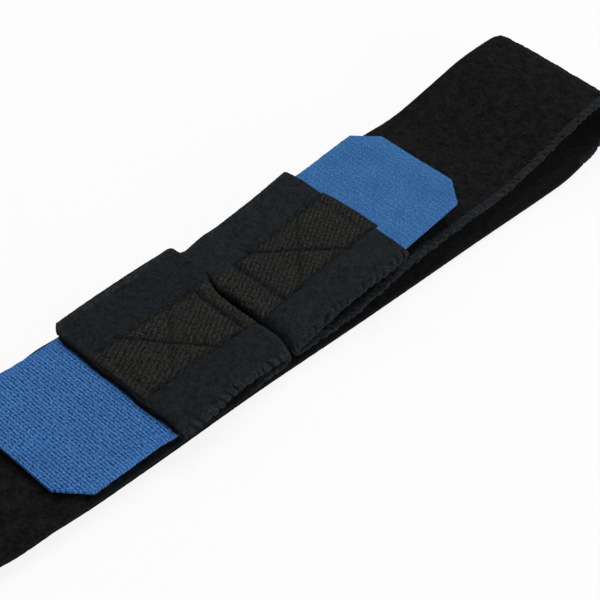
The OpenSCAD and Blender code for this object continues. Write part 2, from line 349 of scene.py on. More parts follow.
@dataclass
class Side:
    """One half of the wrap, from the middle of the base out through its turn and back to its folded end.

    X is taken as positive outwards on both sides, and sign gives the real direction.

    Attributes:
        name: Name of the side, as its CAD nodes start.
        sign: 1 on the right and -1 on the left.
        panel_l: From the groove to the panel's end.
        lift: Rise of the panel, in degrees.
        sag: How far the run's level part lies below the panel's slope.
        climb: From the panel's end to the level part.
        level: Length of the level part past the tab.
        skew: Skew of the upper run, in degrees.
        flap_l: Length of the tab's free flap.
        base_yaw: Skew of the base, in degrees.
        near_reach: How far the fold's near part reaches over the groove.
        far_reach: How far its far part does.
        near_drop: How far the near part hangs.
        edge_drop: How far the near edge of the whole panel hangs.
        corner_drop: How far the fold's far corner hangs.
        slack_back: How far the fold's middle lies back from the groove.
        shoulder: How square the fold's far part is.
        mid_shoulder: How square its middle is.
        mid_bulge: How far its middle bulges into the groove.
        edge_relief: How clear the ribs along the run's near edge are, and how light their colour is painted;
            below 1 they are painted darker as shade, and the pile hangs over them.
        corner_cut: How far the far corner of the cut end is drawn in.
        near_pull: How far the near edge draws in by the fold.
        far_flare: How far the panel's far edge flares by the fold.
        limb_ease: How far the run shifts across, away from the fold.
        limb_draw: How far the run's near edge draws in.
        limb_flare: How far its far edge flares.
        turn_draw: How far the turn's far edge draws in.
        turn_skew: How far the turn's near part falls back.
        end_flare: How far the cut end's far corner flares.
        far_lift: How far the fold's far part lifts.
        end_over: How far the panel runs past its CAD end.
        twill_over: How far the tape runs past the panel.
        twill_askew: How far askew the tape is cut.
        spare: Length that is traced past the panel's end.
    """

    name: str
    sign: int
    panel_l: float
    lift: float
    sag: float
    climb: float
    level: float
    skew: float
    flap_l: float = 31 * MM
    base_yaw: float = -1.56
    near_reach: float = 0.0
    far_reach: float = 0.0
    near_drop: float = 0.0
    edge_drop: float = 0.0
    corner_drop: float = 0.0
    slack_back: float = 0.0
    shoulder: float = 1.2 * MM
    mid_shoulder: float = 0.0
    mid_bulge: float = 0.0
    edge_relief: float = 1.0
    corner_cut: float = BAND.corner_cut
    near_pull: float = 0.0
    far_flare: float = 0.0
    limb_ease: float = 0.0
    limb_draw: float = 0.0
    limb_flare: float = 0.0
    turn_draw: float = 0.0
    turn_skew: float = 0.0
    end_flare: float = 0.0
    far_lift: float = 0.0
    end_over: float = 0.0
    twill_over: float = 0.0
    twill_askew: float = 0.0
    spare: float = 6 * MM
    line: Line = field(init=False)

    def __post_init__(self) -> None:
        """Takes the fold from its joint, and traces the side line with its marks."""
        fold = JOINTS[f"{self.name}_end_unfold"]["pos_m"]
        self.fold_x, self.fold_z = abs(fold[0]), fold[2]
        self.face_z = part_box(f"{self.name}_limb_plush")[0].z + BAND.pile_t
        self.fold_r = self.fold_z - self.face_z
        self.panel_run = self.panel_l - self.fold_x
        tight_r = JOINTS["right_end_unfold"]["pos_m"][2] - self.face_z
        droop = math.asin(2 * (self.fold_r - tight_r) / (self.panel_run + self.flap_l))
        self.rise = math.radians(self.lift) - droop
        self.trace()

    def run_z(self, x: np.ndarray) -> np.ndarray:
        """Height of the upper run's plush face.

        Args:
            x: Place outwards from the groove.

        Returns:
            Height at each place.
        """
        climb_end = self.panel_l + self.climb
        swell = self.panel_l + self.flap_l + self.level
        slope = math.tan(math.radians(self.lift))
        level_z = self.face_z + (climb_end - self.fold_x) * slope - self.sag
        climbed = (level_z - self.face_z) * ease((x - self.fold_x) / (climb_end - self.fold_x))
        swollen = (2 * BAND.turn_r - level_z) * ease((x - swell) / (BAND.half_run - swell))
        return self.face_z + climbed + swollen

    def trace(self) -> None:
        """Traces the side line from the middle of the base to past the panel's end."""
        base_x = np.arange(0.0, BAND.half_run, TRACE_STEP)
        turn = np.radians(np.linspace(-90, 90, TURN_POINTS))
        run_x = np.arange(BAND.half_run, self.fold_x, -TRACE_STEP)[1:]
        fold = np.linspace(-math.pi / 2, -1.5 * math.pi + self.rise, FOLD_POINTS)
        u = np.arange(TRACE_STEP, self.panel_run + self.spare, TRACE_STEP)
        top_x = self.fold_x - self.fold_r * math.sin(self.rise)
        top_z = self.fold_z + self.fold_r * math.cos(self.rise)
        x = [base_x, BAND.half_run + BAND.turn_r * np.cos(turn), run_x,
             self.fold_x + self.fold_r * np.cos(fold), top_x + u * math.cos(self.rise)]
        z = [0 * base_x, BAND.turn_r + BAND.turn_r * np.sin(turn), self.run_z(run_x),
             self.fold_z + self.fold_r * np.sin(fold), top_z + u * math.sin(self.rise)]
        self.line = Line(np.concatenate(x), np.concatenate(z))
        ends = np.cumsum([len(part) for part in x])
        s = self.line.s
        self.turn_s = (s[ends[0]], s[ends[1] - 1])
        self.fold_s = (s[ends[2]], s[ends[3] - 1])
        self.end_s = self.fold_s[1] + self.panel_run
        self.cut_s = (BAND.cut_x, s[ends[1]] + BAND.half_run - BAND.cut_x)

    def span(self, stretch: Stretch) -> tuple[float, float]:
        """Lengths along the side line where a stretch starts and ends.

        Args:
            stretch: The stretch.

        Returns:
            Start and end.
        """
        return {
            Stretch.TURN: (self.cut_s[0], self.cut_s[1]),
            Stretch.RUN: (self.cut_s[1], self.fold_s[0]),
            Stretch.END: (self.fold_s[0], self.end_s),
        }[stretch]

    def upper(self, s: np.ndarray) -> np.ndarray:
        """Share of the way round the soft turn: 0 on the base and 1 on the upper run."""
        return ease((s - self.turn_s[0]) / (self.turn_s[1] - self.turn_s[0]))

    def folded(self, s: np.ndarray) -> np.ndarray:
        """Share of the way round the tight fold: below 0 on the upper run and above 1 on the panel."""
        return (s - self.fold_s[0]) / (self.fold_s[1] - self.fold_s[0])

    def skewed(self, x: np.ndarray) -> np.ndarray:
        """How far the skew upper run lies off the middle plane at x."""
        return -(BAND.half_run - x) * math.tan(math.radians(self.skew))

    def sideways(self, s: np.ndarray, x: np.ndarray) -> np.ndarray:
        """How far the band lies off the middle plane, on the base and on its way back.

        Args:
            s: Length along the side line.
            x: Place outwards from the groove.

        Returns:
            Shift across the band at each place.
        """
        base = base_lay(self.sign * x, self.base_yaw)
        back = self.skewed(x) + self.limb_ease * RUN_SHIFT.at(self.fold_s[0] - s)
        share = self.upper(s)
        return base * (1 - share) + back * share

    def pull(self, s: np.ndarray, y: np.ndarray) -> np.ndarray:
        """How far the near edge draws in, and the far edge flares or draws in.

        Args:
            s: Length along the side line.
            y: Place across the band.

        Returns:
            Shift across the band at each place.
        """
        back = self.fold_s[0] - s
        beyond = s - self.fold_s[1]
        u = beyond / self.panel_run
        off_turn = OFF_TURN.at(s - self.turn_s[1])
        by_fold = hump(past(back), PULL_W) * (1 - PANEL_LOOSE.at(u))
        drawn = (RUN_DRAW.at(back) + RUN_DRAW_MORE.at(back)) * off_turn
        near = self.near_pull * by_fold + self.limb_draw * drawn
        widened = ease(self.folded(s)) * (1 - PANEL_TAPER * np.clip(u, 0, 1) ** 2)
        widened = widened + CORNER_FLARE * hump(beyond, CORNER_W)
        flare = self.far_flare * widened + self.end_flare * PANEL_END.at(s - self.end_s)
        far = flare + self.limb_flare * RUN_BULGE.at(back) * off_turn
        turned = hump(s - (self.turn_s[0] + 2 * self.turn_s[1]) / 3, TURN_EDGE_W)
        share = y / BAND.half
        return near * past(-share) ** 2 + far * past(share) ** 2 - self.turn_draw * turned * past(share) ** 4

    def along(self, s: np.ndarray) -> np.ndarray:
        """Length along the inner face, which is stretched round the outside of the fold."""
        stretch = (BAND.thick + BAND.twill_t) / self.fold_r
        return s + stretch * np.clip(s - self.fold_s[0], 0, self.fold_s[1] - self.fold_s[0])

    def ripple(self, s: np.ndarray, y: np.ndarray) -> np.ndarray:
        """Slow waves of the soft upper run, the same through all its layers."""
        waves = RUN_WAVES.at(s, y, self.sign) + RUN_DENTS.at(s, y)
        return waves * self.upper(s) * RUN_CALM.at(self.fold_s[0] - s)

    def round_off(self, s: np.ndarray, y: np.ndarray) -> tuple[np.ndarray, np.ndarray]:
        """How a fold and its corners depart from the side line, and how a turn falls back.

        Args:
            s: Length along the side line.
            y: Place across the band.

        Returns:
            Shift outwards from the groove, and lift.
        """
        turn = self.folded(s)
        beyond = s - self.fold_s[1]
        faded = 1 - FOLD_SET.at(beyond)
        far = FAR_PART.at(y)
        middle = (1 - far) * MIDDLE_PART.at(y)
        near = towards_edge(-y, NEAR_PART)
        back = self.slack_back * (1 - far) - self.far_reach * far - self.near_reach * near
        squared = self.shoulder * far + self.mid_shoulder * middle
        shoulder = squared * np.sin(math.pi * np.clip(2 * turn - 1, 0, 1)) ** 2
        bulged = self.mid_bulge * middle * hump(turn - BULGE_TURN, BULGE_W)
        hanging = self.near_drop * near * (1 - NEAR_SET.at(beyond))
        hanging = hanging + self.edge_drop * towards_edge(-y, NEAR_EDGE)
        hanging = hanging + self.corner_drop * towards_edge(y, FAR_CORNER) * (1 - CORNER_SET.at(beyond))
        turned = hump(s - (self.turn_s[0] + self.turn_s[1]) / 2, TURN_SKEW_W)
        askew = self.turn_skew * past(SKEW_START - y) * turned
        lifted = self.far_lift * far * ease(turn) * faded + shoulder - hanging * ease(turn)
        return back * ease(2 * turn) * faded - shoulder - bulged - askew, lifted

    def place(self, s: np.ndarray, y: np.ndarray, depth: np.ndarray) -> np.ndarray:
        """Points of the band in the frame.

        Args:
            s: Length along the side line.
            y: Place across the band.
            depth: Depth under the plush face.

        Returns:
            Points, with a last axis of three.
        """
        s, y, depth = np.broadcast_arrays(s, y, depth)
        x, z, nx, nz = self.line.at(s)
        inward = depth - self.ripple(s, y)
        back, lifted = self.round_off(s, y)
        across = y + self.sideways(s, x) + self.pull(s, y)
        return stacked(self.sign * (x - nx * inward + back), across, z - nz * inward + lifted)

    def on_panel(self, u: np.ndarray, y: np.ndarray, v: np.ndarray) -> np.ndarray:
        """Points beside a panel in the frame.

        Args:
            u: Length outwards from the fold.
            y: Place across the band.
            v: Height above the panel's lower face.

        Returns:
            Points, with a last axis of three.
        """
        u, y, v = np.broadcast_arrays(u, y, v)
        v = v + self.fold_r
        x = self.fold_x + u * math.cos(self.rise) - v * math.sin(self.rise)
        z = self.fold_z + u * math.sin(self.rise) + v * math.cos(self.rise)
        sewn = 1 - TAB_FREE.at(u - self.panel_run)
        s = self.fold_s[1] + np.minimum(u, self.panel_run)
        back, lifted = self.round_off(s, y)
        across = y + self.skewed(x) + self.pull(s, y) * sewn
        return stacked(self.sign * (x + back * sewn), across, z + lifted * sewn)


def towards_edge(y: np.ndarray, start: float) -> np.ndarray:
    """Share that grows from 0 at start to 1 at the band's edge, faster and faster."""
    return (past(y, start) / (BAND.half - start)) ** 2


def base_lay(x: np.ndarray, yaw: float) -> np.ndarray:
    """How far the base lies off the middle plane: askew, bowed a little, and drawn in by both turns.

    Args:
        x: Place along the base.
        yaw: Its skew, in degrees.

    Returns:
        Shift across the band at each place.
    """
    drawn = BASE_RIGHT_DRAW.at(x) + BASE_LEFT_DRAW.at(-x)
    bowed = BASE_BOW * hump(x - BASE_BOW_X, BASE_BOW_W) + BASE_RIGHT_BEND.at(x)
    return x * math.tan(math.radians(yaw)) + drawn + bowed


def grid_quads(rows: int, columns: int, closed: bool = False) -> np.ndarray:
    """Quads of a grid of points, row by row.

    Args:
        rows: Number of rows.
        columns: Number of points in a row.
        closed: Whether each row is joined round.

    Returns:
        Corners of each face.
    """
    r = np.arange(rows - 1)[:, None] * columns
    c = np.arange(columns if closed else columns - 1)[None, :]
    d = (c + 1) % columns
    return stacked(r + c, r + d, r + d + columns, r + c + columns).reshape(-1, 4)


def strip_quads(a: np.ndarray, b: np.ndarray) -> np.ndarray:
    """Quads between two rows of point numbers."""
    return stacked(a[:-1], a[1:], b[1:], b[:-1])


def piece(name: str, points: np.ndarray, quads: np.ndarray, cloth: np.ndarray,
          rib: np.ndarray | None = None) -> bpy.types.Object:
    """Makes a smooth mesh piece that remembers its place on the cloth.

    Args:
        name: Name of the piece.
        points: Points in the frame, one row each.
        quads: Corners of each face.
        cloth: Length, width and depth on the cloth of each point.
        rib: Height of the edge's ribs at each point, from 0 to 1, where the piece has them.

    Returns:
        The new object, linked to the scene.
    """
    mesh = bpy.data.meshes.new(name)
    mesh.vertices.add(len(points))
    mesh.vertices.foreach_set("co", points.astype(np.float32).ravel())
    mesh.loops.add(quads.size)
    mesh.loops.foreach_set("vertex_index", quads.astype(np.int32).ravel())
    mesh.polygons.add(len(quads))
    mesh.polygons.foreach_set("loop_start", np.arange(0, quads.size, 4, dtype=np.int32))
    mesh.update(calc_edges=True)
    mesh.shade_smooth()
    mesh.set_sharp_from_angle(angle=SHARP)
    places = mesh.attributes.new(CLOTH, "FLOAT_VECTOR", "POINT")
    places.data.foreach_set("vector", cloth.astype(np.float32).ravel())
    if rib is not None:
        ribs = mesh.attributes.new(RIB, "FLOAT", "POINT")
        ribs.data.foreach_set("value", rib.astype(np.float32).ravel())
    made = bpy.data.objects.new(name, mesh)
    bpy.context.scene.collection.objects.link(made)
    return made


def slab(name: str, outer: np.ndarray, inner: np.ndarray, cloth: np.ndarray, sign: int,
         rib: np.ndarray | None = None) -> bpy.types.Object:
    """Makes a closed slab between two grids of points.

    Args:
        name: Name of the piece.
        outer: Grid of points on the plush side, by length and width.
        inner: Grid of points on the inner side.
        cloth: Place on the cloth of both grids' points, outer first.
        sign: 1 on the right and -1 on the left, which is mirrored.
        rib: Height of the edge's ribs on one grid, where there are any.

    Returns:
        The new piece.
    """
    rows, columns = outer.shape[:2]
    count = rows * columns
    number = np.arange(count).reshape(rows, columns)
    faces = [
        grid_quads(rows, columns)[:, ::-1],
        grid_quads(rows, columns) + count,
        strip_quads(number[:, 0], number[:, 0] + count),
        strip_quads(number[:, -1], number[:, -1] + count)[:, ::-1],
        strip_quads(number[0], number[0] + count)[:, ::-1],
        strip_quads(number[-1], number[-1] + count),
    ]
    quads = np.concatenate(faces)
    points = np.concatenate([outer.reshape(-1, 3), inner.reshape(-1, 3)])
    both = None if rib is None else np.concatenate([rib.ravel(), rib.ravel()])
    return piece(name, points, quads[:, ::sign], cloth, both)


def tube_quads(rows: int, ring: int) -> np.ndarray:
    """Quads of a closed tube, both ends capped.

    Args:
        rows: Number of rings.
        ring: Number of points in a ring, which is even.

    Returns:
        Corners of each face.
    """
    half = np.arange(ring // 2)
    cap = strip_quads(half, ring - 1 - half)
    last = (rows - 1) * ring
    return np.concatenate([grid_quads(rows, ring, closed=True), cap[:, ::-1], cap + last])


def tubes(name: str, points: list[np.ndarray], cloth: list[np.ndarray], sign: int) -> bpy.types.Object:
    """Makes one piece of many equal capped tubes.

    Args:
        name: Name of the piece.
        points: Grid of points of each tube, by length and round it.
        cloth: Place on the cloth of each tube's points.
        sign: 1 on the right and -1 on the left, which is mirrored.

    Returns:
        The new piece.
    """
    rows, ring = points[0].shape[:2]
    each = tube_quads(rows, ring)
    quads = np.concatenate([each + rows * ring * number for number in range(len(points))])
    flat = [np.concatenate(grids).reshape(-1, 3) for grids in (points, cloth)]
    return piece(name, flat[0], quads[:, ::sign], flat[1])


def rounded(y: np.ndarray, half: "float | np.ndarray", radius: float) -> np.ndarray:
    """Drop of a face towards a rounded edge at half."""
    share = np.clip((np.abs(y) - (half - radius)) / radius, 0.0, 1.0)
    return radius * (1 - np.sqrt(1 - share ** 2))


def steps(start: float, end: float, size: float) -> np.ndarray:
    """Even steps from start to end, about size apart."""
    return np.linspace(start, end, max(2, int(round((end - start) / size)) + 1))


@dataclass(frozen=True)
class Sewing:
    """The sewn box and cross on a panel, in the panel's own u and y."""

    panel_run: float
    box_inset: float = 3.7 * MM
    box_end_gap: float = 2.5 * MM
    cross_middle: float = 19.6 * MM
    cross_l: float = 18 * MM
    half_w: float = BAND.twill_w / 2 - 0.7 * MM
    cross_half: float = BAND.twill_w / 2 + 0.5 * MM
    pitch: float = 2.6 * MM
    thread_r: float = 0.22 * MM
    dimple: float = 0.5 * MM
    dimple_w: float = 0.6 * MM
    pucker: float = 0.34 * MM
    pucker_w: float = 2.2 * MM
    # How dark and how wide the shade painted along the seams is.
    seam_shade: float = 0.75
    seam_shade_w: float = 0.7 * MM
    end_sunk: float = 0.35 * MM
    fold_sunk: float = -0.35 * MM
    side_sunk: float = 0.2 * MM
    falling: float = 0.0
    rising: float = 0.0

    def seams(self) -> list[tuple[np.ndarray, np.ndarray, float]]:
        """Both ends of each straight seam, and how far it is buried in the felt, below 0 where it is bold."""
        a, b = self.box_inset, self.panel_run - self.box_end_gap
        c, d = self.cross_middle - self.cross_l / 2, self.cross_middle + self.cross_l / 2
        w, v = self.half_w, self.cross_half
        flat = [
            ((a, -w), (a, w), self.fold_sunk), ((b, -w), (b, w), self.end_sunk),
            ((a, -w), (b, -w), self.side_sunk), ((a, w), (b, w), self.side_sunk),
            ((c, v), (d, -v), self.falling), ((c, -v), (d, v), self.rising),
        ]
        return [(np.array(p), np.array(q), buried) for p, q, buried in flat]

    def nearest(self, u: np.ndarray, y: np.ndarray) -> np.ndarray:
        """Distance to the nearest seam, where a buried seam counts as further off.

        Args:
            u: Length outwards from the fold.
            y: Place across the band.

        Returns:
            Distance at each place.
        """
        u, y = np.broadcast_arrays(u, y)
        nearest = np.full(u.shape, 1.0)
        for p, q, buried in self.seams():
            way = q - p
            t = np.clip(((u - p[0]) * way[0] + (y - p[1]) * way[1]) / (way @ way), 0, 1)
            nearest = np.minimum(nearest, buried + np.hypot(u - p[0] - t * way[0], y - p[1] - t * way[1]))
        return nearest

    def clean(self, u: np.ndarray, y: np.ndarray) -> np.ndarray:
        """Share of light left on the face: 1 off the seams, less in them, where the shade of their pressed
        dimples is painted dark.
        """
        fade = 1 - SEAM_SHADE_GRAIN.height + SEAM_SHADE_GRAIN.at(u, y)
        return 1 - self.seam_shade * fade * hump(self.nearest(u, y), self.seam_shade_w)

    def sink(self, u: np.ndarray, y: np.ndarray) -> np.ndarray:
        """How far the seams draw the face in.

        Args:
            u: Length outwards from the fold.
            y: Place across the band.

        Returns:
            Depth at each place.
        """
        nearest = self.nearest(u, y)
        tight = 1 - SEAM_PULL.height + SEAM_PULL.at(u, y)
        sharp = self.dimple * np.exp(-nearest / self.dimple_w)
        return (sharp + self.pucker * hump(nearest, self.pucker_w)) * tight


@dataclass
class BandStretch:
    """One stretch of the band, with its four layers as pieces of their own."""

    side: Side
    stretch: Stretch
    sewing: Sewing

    @property
    def name(self) -> str:
        """Name that the stretch's pieces start with."""
        return f"{self.side.name}_{self.stretch.value}"

    @property
    def on_end(self) -> bool:
        """Whether this is the folded end, which shows its inner face."""
        return self.stretch is Stretch.END

    @property
    def lean(self) -> float:
        """How far the overlock's ribs lean along the edge."""
        return BAND.panel_lean if self.on_end else BAND.run_lean

    def run_share(self, s: np.ndarray) -> np.ndarray:
        """Share of the upper run away from the fold: 0 at the fold and in the base, 1 between them.

        Args:
            s: Length along the side line.

        Returns:
            Share at each place.
        """
        if self.on_end:
            return 0 * s
        return RUN_SHARE_RAMP.at(self.side.fold_s[0] - s) * self.side.upper(s)

    def tone(self, s: np.ndarray) -> np.ndarray:
        """How clear the overlock's ribs are along the near edge, where 1 is as on the panels; off the panels
        a low value also paints their colour darker as shade.
        """
        return 1 + (self.side.edge_relief - 1) * self.run_share(s)

    def sunk(self, s: np.ndarray, edge: int) -> np.ndarray:
        """How far an edge is sunk under the pile.

        Args:
            s: Length along the side line.
            edge: 1 for the far edge and -1 for the near one.

        Returns:
            0 where the edge stands level with the pile, 1 where the pile hides it.
        """
        if self.on_end:
            return 0 * s
        if edge > 0:
            return 1 + 0 * s
        return self.run_share(s) * (self.side.edge_relief < 1)

    def stations(self, size: float, over: float = 0.0) -> np.ndarray:
        """Lengths along the side line at which the stretch has points.

        Args:
            size: Step between them.
            over: How far they run on past the panel's end.

        Returns:
            Lengths in order.
        """
        start, end = self.side.span(self.stretch)
        if not self.on_end:
            return steps(start, end, size)
        fold_end = self.side.fold_s[1]
        round_fold = np.linspace(start, fold_end, BAND.fold_rows)[:-1]
        return np.concatenate([round_fold, steps(fold_end, end + over, size)])

    def trim(self, s: np.ndarray, y: np.ndarray, back: float = 0.0) -> np.ndarray:
        """Draws in the corners of a panel's cut end.

        Args:
            s: Length along the side line.
            y: Place across the band.
            back: How far the whole end is set back.

        Returns:
            Lengths after the cut.
        """
        if not self.on_end:
            return s + 0 * y
        share = ease((s - self.side.fold_s[1]) / self.side.panel_run)
        cut = np.where(y > 0, self.side.corner_cut, BAND.corner_cut)
        corner = cut * (np.abs(y) / BAND.half) ** BAND.corner_power
        return s - share * (corner + CUT_WANDER.at(y, 0.0) + back - self.side.end_over)

    def puff(self, s: np.ndarray, y: np.ndarray) -> np.ndarray:
        """Relief of the inner face: seams drawn in, borders swollen, a felted surface.

        Args:
            s: Length along the side line.
            y: Place across the band.

        Returns:
            Height at each place.
        """
        a = self.side.along(s)
        felt = FELT_LUMPS.at(a, y) + FELT_FIBRES.at(a, y)
        if not self.on_end:
            return felt
        u = s - self.side.fold_s[1]
        border = np.clip((np.abs(y) - BAND.twill_w / 2) / (BAND.half - BAND.twill_w / 2), 0, 1)
        swell = BAND.border_swell * np.sin(math.pi * (BAND.border_start + (1 - BAND.border_start) * border))
        swell = swell * (border > 0)
        waves = PANEL_WAVES.at(a, y, self.side.sign)
        ends = rounded(past(u), self.side.panel_run + BAND.end_spare, BAND.end_round)
        return felt + swell - BAND.border_fall * border ** 4 + waves - self.sewing.sink(u, y) - ends

    def ticks(self, s: np.ndarray, y: np.ndarray) -> np.ndarray:
        """Height of the felt between the ticks that the edge stitches press into it.

        Args:
            s: Length along the side line.
            y: Place across the band.

        Returns:
            1 off the ticks, 0 in them.
        """
        in_edge = np.abs(y) - BAND.half
        reach = TICK_FADE.at(in_edge + BAND.tick_l) * np.where(y > 0, BAND.far_ticks, 1.0)
        reach = reach * (BAND.tick_reach + TICK_REACH.at(s, y))
        return 1 - reach * (1 - overlock_ribs(self.side.along(s), np.sign(y), BAND.tick_slant * in_edge))

    def web(self) -> bpy.types.Object:
        """The elastic webbing, whose inner face shows on the panels."""
        half = BAND.half - BAND.web_inset
        step_s, step_y = BAND.web_steps if self.on_end else (BAND.run_step, BAND.run_step)
        s = self.stations(step_s)[:, None]
        y = steps(-half, half, step_y)[None, :]
        s, y = np.broadcast_arrays(self.trim(s, y), y)
        # The rib paints shade into the felt: in the ticks, and on the panels along the seams.
        rib = self.ticks(s, y)
        inner = BAND.thick + self.puff(s, y) - rounded(y, half + BAND.web_spare, BAND.web_round)
        inner = inner - BAND.tick_depth * (1 - rib)
        if self.on_end:
            rib = rib * self.sewing.clean(s - self.side.fold_s[1], y)
        return self.layer(Layer.WEB, s, y, BAND.pile_t + 0 * s, inner, rib)

    def pile(self) -> bpy.types.Object:
        """The plush, a napped layer on the outer face, which hangs over the edges of the runs."""
        half = BAND.pile_w / 2 + BAND.pile_over
        near, far = (half, half) if self.on_end else (half + BAND.pile_near, half + BAND.pile_far)
        s = self.stations(BAND.pile_step)[:, None]
        y = steps(-near, far, BAND.pile_step)[None, :]
        s, y = np.broadcast_arrays(self.trim(s, y, -BAND.pile_end), y)
        hang = BAND.pile_hang * self.sunk(s, -1)
        limit = np.where(y > 0, far, near + hang)
        y = y - hang * np.clip(-y / near, 0, 1) ** 3
        edge = np.sign(y) * MM
        y = y + (FRINGE.at(s, edge) + FRINGE_FINE.at(s, edge)) * np.sign(y) * (y / half) ** 4
        outer = BAND.pile_sunk + NAP.at(s, y) + NAP_FINE.at(s, y)
        outer = outer + rounded(y, limit * BAND.pile_spare, BAND.pile_round)
        # The last row, the end face of a panel's pile, is painted as shade.
        lit = np.ones(s.shape)
        if self.on_end:
            lit[-1] = 0.0
        return self.layer(Layer.PILE, s, y, outer, BAND.pile_t + BAND.pile_lap + 0 * s, lit)

    def twill(self) -> bpy.types.Object:
        """The brown tape down the inner face."""
        half = BAND.twill_w / 2
        over = self.side.twill_over + self.side.end_over if self.on_end else 0.0
        step = BAND.twill_step if self.on_end else BAND.run_step
        s = self.stations(step, over)[:, None]
        y = steps(-half, half, step)[None, :]
        if self.on_end:
            s = s - self.side.twill_askew * (y / half) * ease((s - self.side.fold_s[1]) / self.side.panel_run)
        wander = (TAPE_EDGE.at(s, 0.0) + TAPE_EDGE_FINE.at(s, 0.0)) * np.sign(y)
        s, y = np.broadcast_arrays(s, y + wander * (y / half) ** 2)
        fallen = rounded(y, half + BAND.twill_spare, BAND.twill_round)
        inner = BAND.thick + BAND.twill_t + self.puff(s, y) - fallen
        # The rib paints shade along the panel's seams.
        clean = np.ones(s.shape)
        if self.on_end:
            lumps = twill_height(self.side.sign * self.side.along(s), y) - 0.5
            inner = inner + BAND.twill_relief * lumps
            clean = self.sewing.clean(s - self.side.fold_s[1], y)
        return self.layer(Layer.TWILL, s, y, BAND.thick - BAND.twill_sunk + 0 * s, inner, clean)

    def layer(self, layer: Layer, s: np.ndarray, y: np.ndarray, outer: np.ndarray, inner: np.ndarray,
              rib: np.ndarray) -> bpy.types.Object:
        """Makes one layer's slab.

        Args:
            layer: Which layer it is.
            s: Grid of lengths along the side line.
            y: Grid of places across the band.
            outer: Depth of its outer face.
            inner: Depth of its inner face.
            rib: Height of its ribs, which its finish reads.

        Returns:
            The new piece.
        """
        along = self.side.sign * (s if layer is Layer.PILE else self.side.along(s))
        cloth = np.concatenate([stacked(along, y, depth).reshape(-1, 3) for depth in (outer, inner)])
        grids = [self.side.place(s, y, depth) for depth in (outer, inner)]
        return slab(f"{self.name}_{layer.name.lower()}", *grids, cloth, self.side.sign, rib)

    def overlock(self) -> bpy.types.Object:
        """The ribbed overlock that wraps both edges of the band."""
        s = self.stations(BAND.stitch_pitch / BAND.overlock_rows)[:, None]
        points, cloth, quads, ribs = [], [], [], []
        for edge in (-1, 1):
            tone = self.tone(s) * (BAND.far_ticks if edge > 0 else 1.0)
            top = BAND.overlock_top + (BAND.sunk_top - BAND.overlock_top) * self.sunk(s, edge)
            ring_y, ring_d, rib = overlock_ring(self.side.along(s), edge, tone, top, self.lean)
            # Off the panels the ribs' colour is painted darker as shade where the tone is low: on the far
            # edges, the base and the left run's near edge.
            if not self.on_end:
                edge_light = np.minimum(1.0, BAND.edge_shade_floor + (1 - BAND.edge_shade_floor) * tone)
                rib = (1 - BAND.run_ribs + BAND.run_ribs * rib) * edge_light
            y = edge * ring_y
            at = self.trim(s, y)
            ring = tube_quads(len(s), ring_y.shape[1])
            quads.append(ring[:, :: edge * self.side.sign] + sum(len(part) for part in points))
            points.append(self.side.place(at, y, ring_d).reshape(-1, 3))
            cloth.append(stacked(self.side.sign * self.side.along(at), y, ring_d).reshape(-1, 3))
            ribs.append(np.broadcast_to(rib, ring_y.shape).ravel())
        parts = [np.concatenate(part) for part in (points, quads, cloth, ribs)]
        return piece(f"{self.name}_{Layer.OVERLOCK.name.lower()}", *parts)

    def build(self) -> Layers:
        """Makes the four layers of the stretch."""
        return {
            Layer.WEB: self.web(), Layer.PILE: self.pile(),
            Layer.OVERLOCK: self.overlock(), Layer.TWILL: self.twill(),
        }


def twill_height(along: np.ndarray, across: np.ndarray) -> np.ndarray:
    """Height of the twill's slanted columns of lumps.

    Args:
        along: Length along the tape.
        across: Place across it.

    Returns:
        Heights from 0 to 1.
    """
    over = -along * math.sin(BAND.twill_slant) + across * math.cos(BAND.twill_slant)
    wander = TWILL_WANDER.at(along, across)
    columns = 0.5 + 0.5 * np.cos(2 * math.pi * (over + wander) / BAND.twill_pitch)
    lumps = 0.5 + 0.5 * np.cos(2 * math.pi * (along + wander) / BAND.twill_lump)
    return np.sqrt(columns) * (0.5 + 0.5 * np.sqrt(lumps))


def overlock_ribs(along: np.ndarray, edge: "np.ndarray | int", slant: np.ndarray) -> np.ndarray:
    """Height of the overlock's ribs, from 0 in the ticks between them to 1 on their crowns."""
    turn = math.pi * (along + slant + RIB_WANDER.at(along, edge)) / BAND.stitch_pitch
    return np.sqrt(np.abs(np.sin(turn)))


def overlock_ring(along: np.ndarray, edge: int, lumps: np.ndarray, top: np.ndarray, lean: float,
                  ring: int = 20) -> tuple[np.ndarray, np.ndarray, np.ndarray]:
    """Outline of one overlocked edge at each length along the band, with its ribs.

    Args:
        along: Lengths along the band, as a column.
        edge: 1 for the far edge and -1 for the near one.
        lumps: Height of the ribs, where 1 is their full height.
        top: Depth of the outline's top under the plush face.
        lean: How far the ribs lean along the edge.
        ring: Number of points round the outline.

    Returns:
        Place across the band, from its middle, depth of each point, and height of the ribs there.
    """
    turn = np.linspace(0, 2 * math.pi, ring, endpoint=False)[None, :] - math.pi * 0.5
    ways = (np.cos(turn), np.sin(turn))
    across, down = (np.sign(way) * np.abs(way) ** BAND.overlock_square for way in ways)
    ribs = overlock_ribs(along, edge, lean * across - BAND.rib_slant * down)
    ribs = 1 - lumps * (BAND.rib_depth + RIB_DEPTH.at(along, edge)) * (1 - ribs)
    rough = OVERLOCK_FUZZ.at(along, 0.8 * MM * across + 0.5 * MM * down)
    bulge = lumps * np.clip(ribs, 0, 1) ** 2 - lumps * BAND.rib_middle
    swell = (BAND.overlock_lump * bulge + lumps * rough) * np.clip(across + 0.9, 0, 1)
    half_w = BAND.overlock_w / 2
    half_t = (BAND.thick - top) / 2
    y = BAND.half - half_w + (half_w + swell) * across
    depth = top + half_t + (half_t + swell) * down
    return y, depth, ribs


